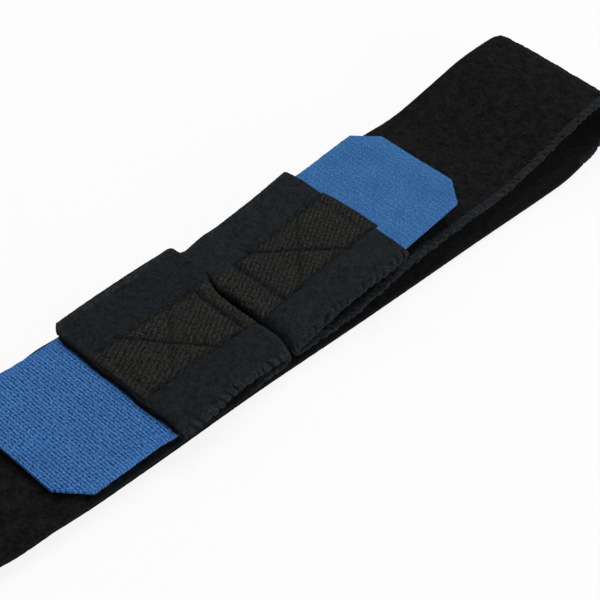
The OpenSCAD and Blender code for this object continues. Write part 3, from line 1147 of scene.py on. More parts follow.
@dataclass
class BaseStretch(BandStretch):
    """The base run, which lies straight on the table between the two turns."""

    def run_share(self, s: np.ndarray) -> np.ndarray:
        """The base's near edge stands level with its pile."""
        return 0 * s

    def tone(self, s: np.ndarray) -> np.ndarray:
        """The base's edges are smooth, and their overlock is painted darker as shade."""
        return BAND.base_ticks + 0 * s

    def puff(self, s: np.ndarray, y: np.ndarray) -> np.ndarray:
        """Relief of the inner face, pressed down under the folds, which leaves them room to turn."""
        inside = 1 - BASE_RIM.at(np.abs(y) - BAND.half)
        return super().puff(s, y) - BAND.pressed * inside * hump(s, PRESSED_W, 4)

    @property
    def name(self) -> str:
        """Name that the base's pieces start with."""
        return "base"

    def stations(self, size: float, over: float = 0.0) -> np.ndarray:
        """Places along the base from cut to cut."""
        return steps(-BAND.cut_x, BAND.cut_x, size)


@dataclass
class BaseSide(Side):
    """The base's own straight side line, which runs through both halves."""

    def trace(self) -> None:
        """Traces a straight line along the table, whose length starts at the middle."""
        x = np.linspace(-BAND.cut_x, BAND.cut_x, BASE_POINTS)
        self.line = Line(x, 0 * x)
        self.line.s = x

    def sideways(self, s: np.ndarray, x: np.ndarray) -> np.ndarray:
        """The base lies askew of the upper runs."""
        return base_lay(x, self.base_yaw)

    def pull(self, s: np.ndarray, y: np.ndarray) -> np.ndarray:
        """The base narrows a little under the left tab and beyond it.

        Args:
            s: Length along the side line.
            y: Place across the band.

        Returns:
            How far each place is drawn across the band.
        """
        share = y / BAND.half
        drawn = BASE_NEAR_WAIST.at(-s) * past(-share) ** 2 - BASE_FAR_WAIST.at(-s) * past(share) ** 2
        return drawn * (1 - BASE_WAIST_END.at(-s))

    def along(self, s: np.ndarray) -> np.ndarray:
        """The base isn't stretched."""
        return s

    def ripple(self, s: np.ndarray, y: np.ndarray) -> np.ndarray:
        """The base lies flat."""
        return 0 * s

    def round_off(self, s: np.ndarray, y: np.ndarray) -> tuple[np.ndarray, np.ndarray]:
        """The base has no fold."""
        return 0 * s, 0 * s


@dataclass
class Tab:
    """A hook tape tab: one strip, half sewn under its panel, with two cut corners and rows of hooks below."""

    side: Side
    width: float = 38 * MM
    thick: float = 0.8 * MM
    anchor_inset: float = 6 * MM
    corner_l: float = 6.2 * MM
    corner_w: float = 6.5 * MM
    edge_w: float = 2 * MM
    hook_h: float = 0.8 * MM
    pick: float = 0.84 * MM
    column: float = 1.1 * MM
    relief: float = 0.05 * MM
    columns: int = 136
    pick_relief: float = 0.3
    check_relief: float = 0.4
    edge_share: float = 0.02
    edge_fall: float = 6 * MM
    curl: float = 0.2 * MM
    curl_turn: float = 200.0
    root_depth: float = 0.05 * MM
    hook_points: int = 6
    filament_r: float = 0.07 * MM
    bend: float = 2.5 * MM
    droop_power: float = 1.6
    tip_droop: float = 0.0
    offset: float = 0.0
    reach: float = 0.0

    @property
    def far_u(self) -> float:
        """From the fold to the tab's tip."""
        return self.side.panel_run + self.side.flap_l + self.reach

    def half_at(self, u: np.ndarray, inset: float = 0.0) -> np.ndarray:
        """Half the tab's width at u, less an inset, with the cut corners."""
        cut = np.clip((u - (self.far_u - inset - self.corner_l)) / self.corner_l, 0, 1)
        return self.width / 2 - inset - cut * (self.corner_w - inset)

    def droop(self, u: np.ndarray) -> np.ndarray:
        """How far the free flap hangs below the panel's slope."""
        return self.tip_droop * past((u - self.side.panel_run) / self.side.flap_l) ** self.droop_power

    def weave(self, u: np.ndarray, y: np.ndarray) -> np.ndarray:
        """Relief of the woven back: picks across the tape, with floats of yarn in a checked order on them.

        Args:
            u: Length outwards from the fold.
            y: Place across the tab.

        Returns:
            Height at each place.
        """
        picks = np.cos(2 * math.pi * u / self.pick)
        check = np.cos(math.pi * u / self.pick) * np.cos(math.pi * y / self.column)
        woven = self.pick_relief * picks + self.check_relief * check
        return self.relief * (woven + TAB_WAVES.at(u, y))

    def tape(self) -> bpy.types.Object:
        """The woven strip, anchor and flap in one."""
        u = steps(self.anchor_inset, self.far_u, self.pick / 4)[:, None]
        across = np.linspace(-1, 1, self.columns)[None, :]
        u, y = np.broadcast_arrays(u, across * self.half_at(u))
        fray = TAB_FRAY.at(u, y) * (np.abs(across) == 1)
        fallen = rounded(across, 1.0, self.edge_share) * self.edge_fall
        top = self.weave(u, y) - self.droop(u) - fallen
        under = -self.thick - self.droop(u)
        grids = [self.side.on_panel(u, y + self.offset + fray, v) for v in (under, top)]
        cloth = [stacked(self.side.sign * u, y, v).reshape(-1, 3) for v in (-self.thick, 0.0)]
        return slab(f"{self.side.name}_tab_tape", *grids, np.concatenate(cloth), self.side.sign)

    def hooks(self) -> bpy.types.Object:
        """Rows of filament hooks on the underside, alternate rows facing opposite ways."""
        bend = np.radians(np.linspace(0, self.curl_turn, self.hook_points))
        along = np.concatenate([[0.0], self.curl - self.curl * np.cos(bend)])[:, None]
        down = np.concatenate([[-self.root_depth], 0.5 * self.hook_h + self.curl * np.sin(bend)])[:, None]
        turn = np.linspace(0, 2 * math.pi, self.hook_points, endpoint=False)[None, :]
        points, cloth = [], []
        rows = np.arange(self.anchor_inset + self.pick, self.far_u - self.pick, 2 * self.pick)
        for number, u in enumerate(rows):
            half = float(self.half_at(np.array(u), self.edge_w)) - self.column / 2
            count = int(half / self.column)
            lean = 1 if number % 2 else -1
            for y in self.column * (np.arange(-count, count + 1) + 0.5 * (number % 2)):
                ring_u = u + lean * along + self.filament_r * np.cos(turn)
                ring_y = y + self.filament_r * np.sin(turn) + 0 * ring_u
                ring_v = -self.thick - down + 0 * ring_u
                points.append(self.side.on_panel(ring_u, ring_y + self.offset, ring_v - self.droop(ring_u)))
                cloth.append(stacked(self.side.sign * ring_u, ring_y, ring_v))
        return tubes(f"{self.side.name}_tab_hooks", points, cloth, self.side.sign)


@dataclass
class Stitching:
    """The sewing thread on one panel, a row of separate stitches along each seam."""

    side: Side
    end: BandStretch
    round_points: int = 8
    bow_points: int = 9
    proud: float = 0.07 * MM
    dive: float = 0.42 * MM
    uneven: float = 0.05 * MM
    uneven_step: float = 9.1
    uneven_start: float = 3.7 / MM
    buried_share: float = 0.7

    def build(self) -> bpy.types.Object:
        """Makes each stitch as a short bowed tube that dives into the tape at both ends."""
        sewing = self.end.sewing
        turn = np.linspace(0, 2 * math.pi, self.round_points, endpoint=False)[None, :]
        bow = np.linspace(-1, 1, self.bow_points)[:, None]
        points, cloth = [], []
        for p, q, buried in sewing.seams():
            length = float(np.hypot(*(q - p)))
            count = max(2, round(length / sewing.pitch))
            way = (q - p) / length
            reach = 0.5 * length / count
            for k in range(count):
                middle = p + way * length * (k + 0.5) / count
                sunk = self.uneven * (1 + math.sin(self.uneven_step * k + self.uneven_start * length))
                sunk = sunk + self.buried_share * max(0.0, buried)
                beside = sewing.thread_r * np.cos(turn)
                up = sewing.thread_r * np.sin(turn) + self.proud - sunk - self.dive * bow ** 4
                u = middle[0] + way[0] * bow * reach - way[1] * beside
                y = middle[1] + way[1] * bow * reach + way[0] * beside
                s = u + self.side.fold_s[1]
                on_tape = 1 - TAPE_RIM.at(np.abs(y) - BAND.twill_w / 2)
                depth = BAND.thick + BAND.twill_t * on_tape + self.end.puff(s, y) + up
                points.append(self.side.place(s, y, depth))
                cloth.append(stacked(self.side.sign * self.side.along(s), y, depth))
        return tubes(f"{self.side.name}_box_thread", points, cloth, self.side.sign)


class Signal:
    """A socket that takes part in Python sums: each operator on it adds a Math node."""

    def __init__(self, sheet: "NodeSheet", socket: bpy.types.NodeSocket) -> None:
        """Keeps the socket with the sheet that it is on."""
        self.sheet = sheet
        self.socket = socket

    def maths(self, operation: str, *values: "Signal | float") -> "Signal":
        """Adds a Math node that works on the values in order."""
        return self.sheet.node("ShaderNodeMath", {"operation": operation}, dict(enumerate(values)))

    def __add__(self, other: "Signal | float") -> "Signal":
        """Sum."""
        return self.maths("ADD", self, other)

    def __sub__(self, other: "Signal | float") -> "Signal":
        """Difference."""
        return self.maths("SUBTRACT", self, other)

    def __rsub__(self, other: float) -> "Signal":
        """Difference from a number."""
        return self.maths("SUBTRACT", other, self)

    def __mul__(self, other: "Signal | float") -> "Signal":
        """Product."""
        return self.maths("MULTIPLY", self, other)

    __radd__ = __add__
    __rmul__ = __mul__

    def cosine(self, period: float) -> "Signal":
        """Cosine wave of the given period, from 0 to 1."""
        return self.maths("COSINE", self * (2 * math.pi / period)) * 0.5 + 0.5

    def size(self) -> "Signal":
        """Absolute value."""
        return self.maths("ABSOLUTE", self)

    def root(self) -> "Signal":
        """Square root."""
        return self.maths("SQRT", self)

    def between(self, low: float, high: float) -> "Signal":
        """Smooth step from 0 at low to 1 at high."""
        return self.sheet.node("ShaderNodeMapRange", {"interpolation_type": "SMOOTHSTEP"},
                               {"Value": self, "From Min": low, "From Max": high})


class NodeSheet:
    """The node tree of one material or world."""

    def __init__(self, owner: bpy.types.Material | bpy.types.World) -> None:
        """Starts with an empty tree.

        Args:
            owner: The material or world.
        """
        owner.use_nodes = True
        self.tree = owner.node_tree
        self.tree.nodes.clear()

    def node(self, kind: str, settings: dict, sockets: dict, output: int | str = 0) -> Signal:
        """Adds a node.

        Args:
            kind: Type of the node.
            settings: Its own settings, which are set first.
            sockets: Value or Signal for each input, by name or number.
            output: Name or number of the output wanted.

        Returns:
            That output.
        """
        made = self.tree.nodes.new(kind)
        for key, value in settings.items():
            setattr(made, key, value)
        for key, value in sockets.items():
            if isinstance(value, Signal):
                self.tree.links.new(value.socket, made.inputs[key])
            else:
                made.inputs[key].default_value = value
        return Signal(self, made.outputs[output] if made.outputs else None)

    def cloth(self) -> tuple[Signal, Signal, Signal]:
        """Place on the cloth in millimetres: as a vector, along it, and across it."""
        place = self.node("ShaderNodeAttribute", {"attribute_name": CLOTH}, {}, "Vector")
        scaled = self.node("ShaderNodeVectorMath", {"operation": "SCALE"}, {0: place, "Scale": 1 / MM})
        parts = [self.node("ShaderNodeSeparateXYZ", {}, {"Vector": scaled}, k) for k in range(2)]
        return scaled, parts[0], parts[1]

    def rib(self) -> Signal:
        """Height of the ribs, from 0 to 1, as the piece remembers it."""
        return self.node("ShaderNodeAttribute", {"attribute_name": RIB}, {}, "Fac")

    def seen(self) -> Signal:
        """1 for a ray that shows a surface to the camera, straight, in gloss or through glass, else 0."""
        kinds = ("Is Camera Ray", "Is Glossy Ray", "Is Transmission Ray")
        rays = [self.node("ShaderNodeLightPath", {}, {}, kind) for kind in kinds]
        return rays[0] + rays[1] + rays[2]

    def spread(self, vector: Signal, scale: tuple[float, float, float]) -> Signal:
        """Scales a vector by its own amount on each axis."""
        return self.node("ShaderNodeVectorMath", {"operation": "MULTIPLY"}, {0: vector, 1: scale})

    def noise(self, vector: Signal, per_mm: float, detail: float = 2.0) -> Signal:
        """Cloudy noise with so many cells to the millimetre."""
        sockets = {"Vector": vector, "Scale": per_mm, "Detail": detail}
        return self.node("ShaderNodeTexNoise", {}, sockets, "Fac")

    def blend(self, share: Signal, low: "Signal | Colour", high: "Signal | Colour") -> Signal:
        """Mix of two colours."""
        return self.node("ShaderNodeMix", {"data_type": "RGBA"}, {0: share, 6: low, 7: high}, 2)

    def bump(self, height: Signal, distance: float) -> Signal:
        """Bumped normal for a height from 0 to 1."""
        return self.node("ShaderNodeBump", {}, {"Height": height, "Distance": distance, "Strength": 1.0})

    def surface(self, **sockets: "Signal | float | Colour") -> None:
        """Ends the tree with a Principled surface, whose sockets are given with _ for a space."""
        named = {key.replace("_", " "): value for key, value in sockets.items()}
        shader = self.node("ShaderNodeBsdfPrincipled", {}, named)
        self.node("ShaderNodeOutputMaterial", {}, {"Surface": shader})


@dataclass(frozen=True)
class Finish:
    """A material with its name."""

    name: str

    def material(self) -> bpy.types.Material:
        """Makes the material."""
        made = bpy.data.materials.new(self.name)
        self.paint(NodeSheet(made))
        return made

    def paint(self, sheet: NodeSheet) -> None:
        """Lays out the material's nodes.

        Args:
            sheet: Node tree of the material.
        """
        raise NotImplementedError


@dataclass(frozen=True)
class PlushFinish(Finish):
    """Brushed loop pile: near black, with paler loop tops and a faint green and brown cast."""

    name: str = "plush_pile"
    shade: Colour = (0.0024, 0.0026, 0.0025, 1)
    tips: Colour = (0.0118, 0.0131, 0.0120, 1)
    warm: Colour = (0.0160, 0.0150, 0.0112, 1)
    cool: Colour = (0.0100, 0.0138, 0.0150, 1)
    loops_per_mm: float = 1.2
    tufts_per_mm: float = 0.3
    tint_per_mm: float = 0.55
    tips_per_mm: float = 0.9
    strands: tuple[tuple[float, float, float], ...] = ((1.2, 4.2, 2.5), (4.2, 1.2, 2.5))

    def paint(self, sheet: NodeSheet) -> None:
        """Lays out the material's nodes.

        Args:
            sheet: Node tree of the material.
        """
        place, _, _ = sheet.cloth()
        loops = sheet.noise(place, self.loops_per_mm, 3.0)
        strands = [sheet.noise(sheet.spread(place, way), 1.0, 2.0) for way in self.strands]
        tufts = sheet.noise(place, self.tufts_per_mm, 2.0)
        nap = loops * 0.5 + strands[0] * 0.25 + strands[1] * 0.25
        tinted = sheet.noise(place, self.tint_per_mm, 1.0).between(0.35, 0.65)
        tint = sheet.blend(tinted, self.cool, self.warm)
        tips = sheet.blend(sheet.noise(place, self.tips_per_mm, 1.0).between(0.45, 0.70), self.tips, tint)
        raised = (nap + tufts * 0.35 - 0.175).between(0.32, 0.72)
        # The rib paints the pile's end face on each panel as shade.
        colour = sheet.blend(raised * sheet.rib(), self.shade, tips)
        sheet.surface(Base_Color=colour, Roughness=1.0, Specular_IOR_Level=0.03, Sheen_Weight=0.012,
                      Sheen_Roughness=0.6, Sheen_Tint=(0.8, 0.85, 0.8, 1),
                      Normal=sheet.bump(nap, 0.4 * MM))


@dataclass(frozen=True)
class FeltFinish(Finish):
    """Felted inner face of the webbing: slate, mottled, with small pills; painted black as shade low on its
    cut ends and sides, and painted darker as shade in the edge ticks and along the seams.
    """

    name: str = "slate_felt"
    shade: Colour = (0.0055, 0.0072, 0.0089, 1)
    face: Colour = (0.0164, 0.0207, 0.0240, 1)
    plum: Colour = (0.0180, 0.0176, 0.0205, 1)
    pill: Colour = (0.0270, 0.0290, 0.0310, 1)
    # Painted shade: the colour of the cut faces low down, of the ticks and of the seams.
    cut: Colour = (0.0020, 0.0021, 0.0023, 1)
    fibre_per_mm: float = 2.2
    mottle_per_mm: float = 0.42
    pills_per_mm: float = 0.85
    dye_per_mm: float = 0.24
    streaks: tuple[float, float, float] = (0.7, 1.9, 1.2)
    shade_depth: tuple[float, float] = (1.3, 1.9)

    def paint(self, sheet: NodeSheet) -> None:
        """Lays out the material's nodes.

        Args:
            sheet: Node tree of the material.
        """
        place, _, _ = sheet.cloth()
        depth = sheet.node("ShaderNodeSeparateXYZ", {}, {"Vector": place}, "Z")
        fibre = sheet.noise(place, self.fibre_per_mm, 4.0)
        mottle = sheet.noise(place, self.mottle_per_mm, 3.0)
        pills = sheet.noise(place, self.pills_per_mm, 2.0).between(0.58, 0.72)
        dye = sheet.noise(place, self.dye_per_mm, 3.0).between(0.48, 0.62)
        dyed = sheet.blend(dye * 0.9, self.face, self.plum)
        streaks = sheet.noise(sheet.spread(place, self.streaks), 1.0, 3.0)
        worn = fibre * 0.45 + mottle * 0.25 + streaks * 0.3
        base = sheet.blend(worn.between(0.38, 0.60), self.shade, dyed)
        felt = sheet.blend(pills * 0.4, base, self.pill)
        # Painted shade: black low on the cut faces, and darker where the rib marks ticks and seams.
        unshaded = depth.between(*self.shade_depth) * (sheet.rib().between(0.15, 0.75) * 0.7 + 0.3)
        colour = sheet.blend(unshaded, self.cut, felt)
        height = fibre * 0.45 + streaks * 0.35 + pills * 0.35
        sheet.surface(Base_Color=colour, Roughness=1.0, Specular_IOR_Level=0.05, Sheen_Weight=0.015,
                      Sheen_Roughness=0.55, Sheen_Tint=(0.8, 0.9, 1.0, 1),
                      Normal=sheet.bump(height, 0.32 * MM))


@dataclass(frozen=True)
class ShadedFeltFinish(FeltFinish):
    """The slate of the left panel, painted a little darker as shade."""

    name: str = "slate_felt_worn"
    shade: Colour = (0.0046, 0.0062, 0.0077, 1)
    face: Colour = (0.0136, 0.0174, 0.0204, 1)
    plum: Colour = (0.0152, 0.0150, 0.0172, 1)


@dataclass(frozen=True)
class ShadedLoopFeltFinish(FeltFinish):
    """The same inner face inside the loop, painted a darker, greyer charcoal as the shade that falls there.
    """

    name: str = "charcoal_felt"
    shade: Colour = (0.0052, 0.0054, 0.0056, 1)
    face: Colour = (0.0134, 0.0138, 0.0140, 1)
    plum: Colour = (0.0140, 0.0134, 0.0130, 1)


@dataclass(frozen=True)
class OverlockFinish(Finish):
    """Overlock thread wrapped closely round the edge: slate, with fine strands, and painted darker as shade
    between the ribs and on dulled edges.
    """

    name: str = "overlock_thread"
    tick: Colour = (0.0022, 0.0024, 0.0027, 1)
    shade: Colour = (0.0048, 0.0054, 0.0062, 1)
    crown: Colour = (0.0260, 0.0300, 0.0345, 1)
    strand: float = 0.42
    strand_slant: float = 0.18
    wander_per_mm: float = 0.6
    fuzz_per_mm: float = 2.1

    def paint(self, sheet: NodeSheet) -> None:
        """Lays out the material's nodes.

        Args:
            sheet: Node tree of the material.
        """
        place, along, across = sheet.cloth()
        wander = sheet.noise(place, self.wander_per_mm, 2.0)
        strands = (along + across * self.strand_slant + wander * 0.5).cosine(self.strand)
        fuzz = sheet.noise(place, self.fuzz_per_mm, 3.0)
        thread = sheet.blend((strands * 0.12 + fuzz * 0.88).between(0.34, 0.64), self.shade, self.crown)
        # The tick colour is painted shade, in the grooves between the ribs and on edges whose rib is dulled.
        colour = sheet.blend(sheet.rib().between(0.25, 0.95), self.tick, thread)
        sheet.surface(Base_Color=colour, Roughness=1.0, Specular_IOR_Level=0.06, Sheen_Weight=0.012,
                      Sheen_Roughness=0.5, Normal=sheet.bump(strands * 0.4 + fuzz * 0.6, 0.18 * MM))


@dataclass(frozen=True)
class TwillFinish(Finish):
    """Coarse brown twill: slanted columns of short floats, each lump of its own tone, with pale flecks
    painted brightest on the crowns as highlight.
    """

    name: str = "brown_twill"
    groove: Colour = (0.0045, 0.0045, 0.0043, 1)
    yarn: Colour = (0.0228, 0.0236, 0.0226, 1)
    olive: Colour = (0.0204, 0.0216, 0.0170, 1)
    fleck_and_highlight: Colour = (0.0660, 0.0650, 0.0630, 1)
    border: Colour = (0.0085, 0.0098, 0.0110, 1)
    pitted: float = 0.5
    wander_mm: float = 0.9
    wander_per_mm: float = 0.7
    ridge_per_mm: tuple[float, float] = (2.0, 3.2)
    fleck_scale: float = 0.75
    pits_per_mm: float = 1.1
    worn_per_mm: float = 0.3
    worn_edge: tuple[float, float] = (7.8, 9.4)

    def paint(self, sheet: NodeSheet) -> None:
        """Lays out the material's nodes.

        Args:
            sheet: Node tree of the material.
        """
        place, along, across = sheet.cloth()
        pitch, lump, slant = BAND.twill_pitch / MM, BAND.twill_lump / MM, BAND.twill_slant
        wander = (sheet.noise(place, self.wander_per_mm, 3.0) - 0.5) * self.wander_mm
        over = across * math.cos(slant) - along * math.sin(slant) + wander
        down = along * math.cos(slant) + across * math.sin(slant) + wander
        shape = over.cosine(pitch).root() * (down.cosine(lump).root() * 0.4 + 0.6)
        per_down, per_over = self.ridge_per_mm
        ridge = sheet.node("ShaderNodeCombineXYZ", {}, {"X": down * per_down, "Y": over * per_over})
        fibre = sheet.noise(ridge, 1.0, 3.0)
        chance = sheet.noise(ridge, self.fleck_scale, 1.0)
        pits = (sheet.noise(place, self.pits_per_mm, 2.0) - 0.5) * self.pitted
        worn = sheet.noise(place, self.worn_per_mm, 2.0)
        yarn = sheet.blend(worn.between(0.38, 0.62), self.yarn, self.olive)
        base = sheet.blend((shape * 0.5 + fibre * 2.0 + pits - 0.82).between(0.12, 0.78), self.groove, yarn)
        # Pale flecks on the floats, painted brightest on the crowns as highlight.
        fleck_and_highlight_share = (chance * 0.6 + fibre * 0.8 + pits * 0.15).between(0.73, 0.98)
        lit = sheet.blend(fleck_and_highlight_share * (shape * 0.6 + 0.4), base, self.fleck_and_highlight)
        worn_edge = (across.size() + (worn - 0.5) * 4).between(*self.worn_edge)
        faded = sheet.blend(worn_edge * 0.6, lit, self.border)
        # The rib paints shade along the seams, in the groove colour.
        colour = sheet.blend(sheet.rib(), self.groove, faded)
        sheet.surface(Base_Color=colour, Roughness=0.95, Specular_IOR_Level=0.08,
                      Normal=sheet.bump(shape * 0.4 + fibre * 0.6, 0.2 * MM))


@dataclass(frozen=True)
class ShadedTwillFinish(TwillFinish):
    """The twill of the left panel, painted a little darker as shade, whose floats are more pitted."""

    name: str = "brown_twill_worn"
    yarn: Colour = (0.0212, 0.0219, 0.0208, 1)
    olive: Colour = (0.0192, 0.0202, 0.0156, 1)
    pitted: float = 1.2


@dataclass(frozen=True)
class HookTapeFinish(Finish):
    """Blue woven ground of the hook tape: fine weft, dark pits in a checked order, ribbed selvages, and
    painted highlights on the yarn.
    """

    name: str = "blue_hook_tape"
    pit: Colour = (0.0015, 0.0090, 0.060, 1)
    low: Colour = (0.0140, 0.066, 0.220, 1)
    yarn: Colour = (0.0296, 0.122, 0.340, 1)
    yarn_highlight: Colour = (0.0800, 0.255, 0.570, 1)
    pick: float = 0.84
    column: float = 1.1
    edge_at: float = 17.0
    open_pits: float = 0.85
    order: float = 1.0
    wander_mm: float = 1.2
    wander_per_mm: float = 0.6
    fibre_per_mm: float = 2.4
    tone_per_mm: float = 0.12
    pits_per_mm: float = 1.15

    def paint(self, sheet: NodeSheet) -> None:
        """Lays out the material's nodes.

        Args:
            sheet: Node tree of the material.
        """
        place, along, across = sheet.cloth()
        wander = (sheet.noise(place, self.wander_per_mm, 3.0) - 0.5) * self.wander_mm
        blurred = 0.5 * (1 - self.order)
        rows = (along + wander * 0.35).cosine(self.pick) * self.order + blurred
        pairs = (along + wander * 0.35).cosine(2 * self.pick)
        shifted = across + pairs * (self.column / 2) + wander * 1.2
        columns = shifted.cosine(self.column) * self.order + blurred
        edge = across.size().between(self.edge_at, self.edge_at + 0.4)
        fibre = sheet.noise(place, self.fibre_per_mm, 3.0)
        tone = sheet.noise(place, self.tone_per_mm, 2.0)
        chance = sheet.noise(place, self.pits_per_mm, 2.0).between(0.34, 0.64)
        open_weave = ((1 - rows) * 0.55 + 0.45) * (columns * 0.4 + fibre * 1.1 + chance * 0.75)
        pits = open_weave.between(0.92, 1.40) * (1 - edge * 0.7)
        weave = rows * 0.5 + (1 - columns) * 0.3 + pairs * 0.2
        # Painted highlight on the yarn's brightest crowns.
        highlight_share = (weave * 0.45 + fibre * 1.7 + tone * 0.3).between(1.08, 1.6)
        raised = (rows * 0.25 + fibre * 1.25 + tone * 0.2).between(0.45, 1.1)
        ground = sheet.blend(raised, self.low, self.yarn)
        base = sheet.blend(highlight_share * 0.75, ground, self.yarn_highlight)
        colour = sheet.blend(pits * self.open_pits, base, self.pit)
        sheet.surface(Base_Color=colour, Roughness=0.7, Specular_IOR_Level=0.1,
                      Normal=sheet.bump(weave * 0.4 + fibre * 0.6, 0.2 * MM))


@dataclass(frozen=True)
class CloseWeaveFinish(HookTapeFinish):
    """The same ground on the right tab, whose weave is closer and less in order."""

    name: str = "blue_hook_tape_close"
    low: Colour = (0.0134, 0.064, 0.203, 1)
    yarn: Colour = (0.0298, 0.122, 0.321, 1)
    yarn_highlight: Colour = (0.0770, 0.247, 0.527, 1)
    open_pits: float = 0.5
    order: float = 0.35


@dataclass(frozen=True)
class HookFinish(Finish):
    """Stiff filament of the hooks: pale blue, a little glossy."""

    name: str = "hook_filament"
    root: Colour = (0.030, 0.105, 0.28, 1)
    tip: Colour = (0.075, 0.19, 0.42, 1)
    tone_per_mm: float = 0.8

    def paint(self, sheet: NodeSheet) -> None:
        """Lays out the material's nodes.

        Args:
            sheet: Node tree of the material.
        """
        place, _, _ = sheet.cloth()
        tone = sheet.noise(place, self.tone_per_mm, 1.0).between(0.35, 0.65)
        colour = sheet.blend(tone, self.root, self.tip)
        sheet.surface(Base_Color=colour, Roughness=0.38, Specular_IOR_Level=0.5)


@dataclass(frozen=True)
class ThreadFinish(Finish):
    """Black sewing thread with a twisted lay."""

    name: str = "black_thread"
    shade: Colour = (0.0035, 0.0033, 0.0042, 1)
    crown: Colour = (0.0140, 0.0128, 0.0155, 1)
    lay_mm: float = 0.3
    fuzz_per_mm: float = 3.0

    def paint(self, sheet: NodeSheet) -> None:
        """Lays out the material's nodes.

        Args:
            sheet: Node tree of the material.
        """
        place, along, across = sheet.cloth()
        lay = (along + across).cosine(self.lay_mm)
        fuzz = sheet.noise(place, self.fuzz_per_mm, 2.0)
        colour = sheet.blend(lay * 0.5 + fuzz * 0.4, self.shade, self.crown)
        sheet.surface(Base_Color=colour, Roughness=0.9, Specular_IOR_Level=0.04,
                      Normal=sheet.bump(lay, 0.06 * MM))


@dataclass(frozen=True)
class FloorFinish(Finish):
    """White studio floor that shows as pale to the camera and still takes the shadow."""

    name: str = "studio_floor"
    white: Colour = (0.88, 0.88, 0.88, 1)
    glow: float = 0.87

    def paint(self, sheet: NodeSheet) -> None:
        """Lays out the material's nodes.

        Args:
            sheet: Node tree of the material.
        """
        plain = sheet.node("ShaderNodeBsdfDiffuse", {}, {"Color": self.white})
        light = sheet.node("ShaderNodeEmission", {}, {"Color": (1, 1, 1, 1), "Strength": 1.0})
        mixed = sheet.node("ShaderNodeMixShader", {}, {0: sheet.seen() * self.glow, 1: plain, 2: light})
        sheet.node("ShaderNodeOutputMaterial", {}, {"Surface": mixed})


@dataclass(frozen=True)
class Lamp:
    """A square soft lamp that faces the object."""

    name: str
    at: tuple[float, float, float]
    size: float
    watts: float

    def build(self) -> None:
        """Places the lamp."""
        data = bpy.data.lights.new(self.name, "AREA")
        data.size = self.size
        data.energy = self.watts
        made = bpy.data.objects.new(self.name, data)
        made.location = self.at
        made.rotation_mode = "QUATERNION"
        made.rotation_quaternion = (-Vector(self.at)).to_track_quat("-Z", "Y")
        bpy.context.scene.collection.objects.link(made)


@dataclass
class Studio:
    """Pale floor, soft light and the camera at the photograph's viewing angle."""

    frame_px: float = 600.0
    focal_px: float = 1305.3
    azimuth: float = -59.28
    elevation: float = 41.46
    roll: float = -13.57
    stand: tuple[float, float, float] = (-198.1 * MM, -136.2 * MM, 225.5 * MM)
    near_clip: float = 0.01
    floor_half: float = 3.0
    floor_z: float = -0.15 * MM
    world_level: float = 0.30
    lamps: tuple[Lamp, ...] = (
        Lamp("key_lamp", (0.25, 0.22, 1.1), 0.8, 8.4),
        Lamp("fill_lamp", (-0.15, -1.0, 0.35), 0.9, 5.5),
    )

    def camera(self) -> None:
        """Places the camera."""
        data = bpy.data.cameras.new("camera")
        data.angle = 2 * math.atan(self.frame_px / 2 / self.focal_px)
        data.clip_start = self.near_clip
        made = bpy.data.objects.new("camera", data)
        az, el, roll = (math.radians(angle) for angle in (self.azimuth, self.elevation, self.roll))
        back = Vector((math.sin(az) * math.cos(el), -math.cos(az) * math.cos(el), math.sin(el)))
        level = Vector((math.cos(az), math.sin(az), 0.0))
        down = (-back).cross(level)
        right = level * math.cos(roll) + down * math.sin(roll)
        up = level * math.sin(roll) - down * math.cos(roll)
        turned = Matrix((right, up, back)).transposed().to_4x4()
        made.matrix_world = Matrix.Translation(self.stand) @ turned
        bpy.context.scene.collection.objects.link(made)
        bpy.context.scene.camera = made

    def floor(self) -> None:
        """Lays the floor."""
        half = self.floor_half
        corners = np.array([(-half, -half), (half, -half), (half, half), (-half, half)])
        points = np.column_stack([corners, np.full(4, self.floor_z)])
        made = piece("studio_floor", points, np.array([[0, 1, 2, 3]]), points)
        made.data.materials.append(FloorFinish().material())

    def world(self) -> None:
        """Lights the scene evenly, and shows as white."""
        made = bpy.data.worlds.new("studio")
        sheet = NodeSheet(made)
        lights = [sheet.node("ShaderNodeBackground", {}, {"Color": (1, 1, 1, 1), "Strength": level})
                  for level in (self.world_level, 1.0)]
        mixed = sheet.node("ShaderNodeMixShader", {}, {0: sheet.seen(), 1: lights[0], 2: lights[1]})
        sheet.node("ShaderNodeOutputWorld", {}, {"Surface": mixed})
        bpy.context.scene.world = made

    def build(self) -> None:
        """Makes the whole studio."""
        bpy.context.scene.view_settings.view_transform = "Standard"
        self.camera()
        self.floor()
        self.world()
        for lamp in self.lamps:
            lamp.build()


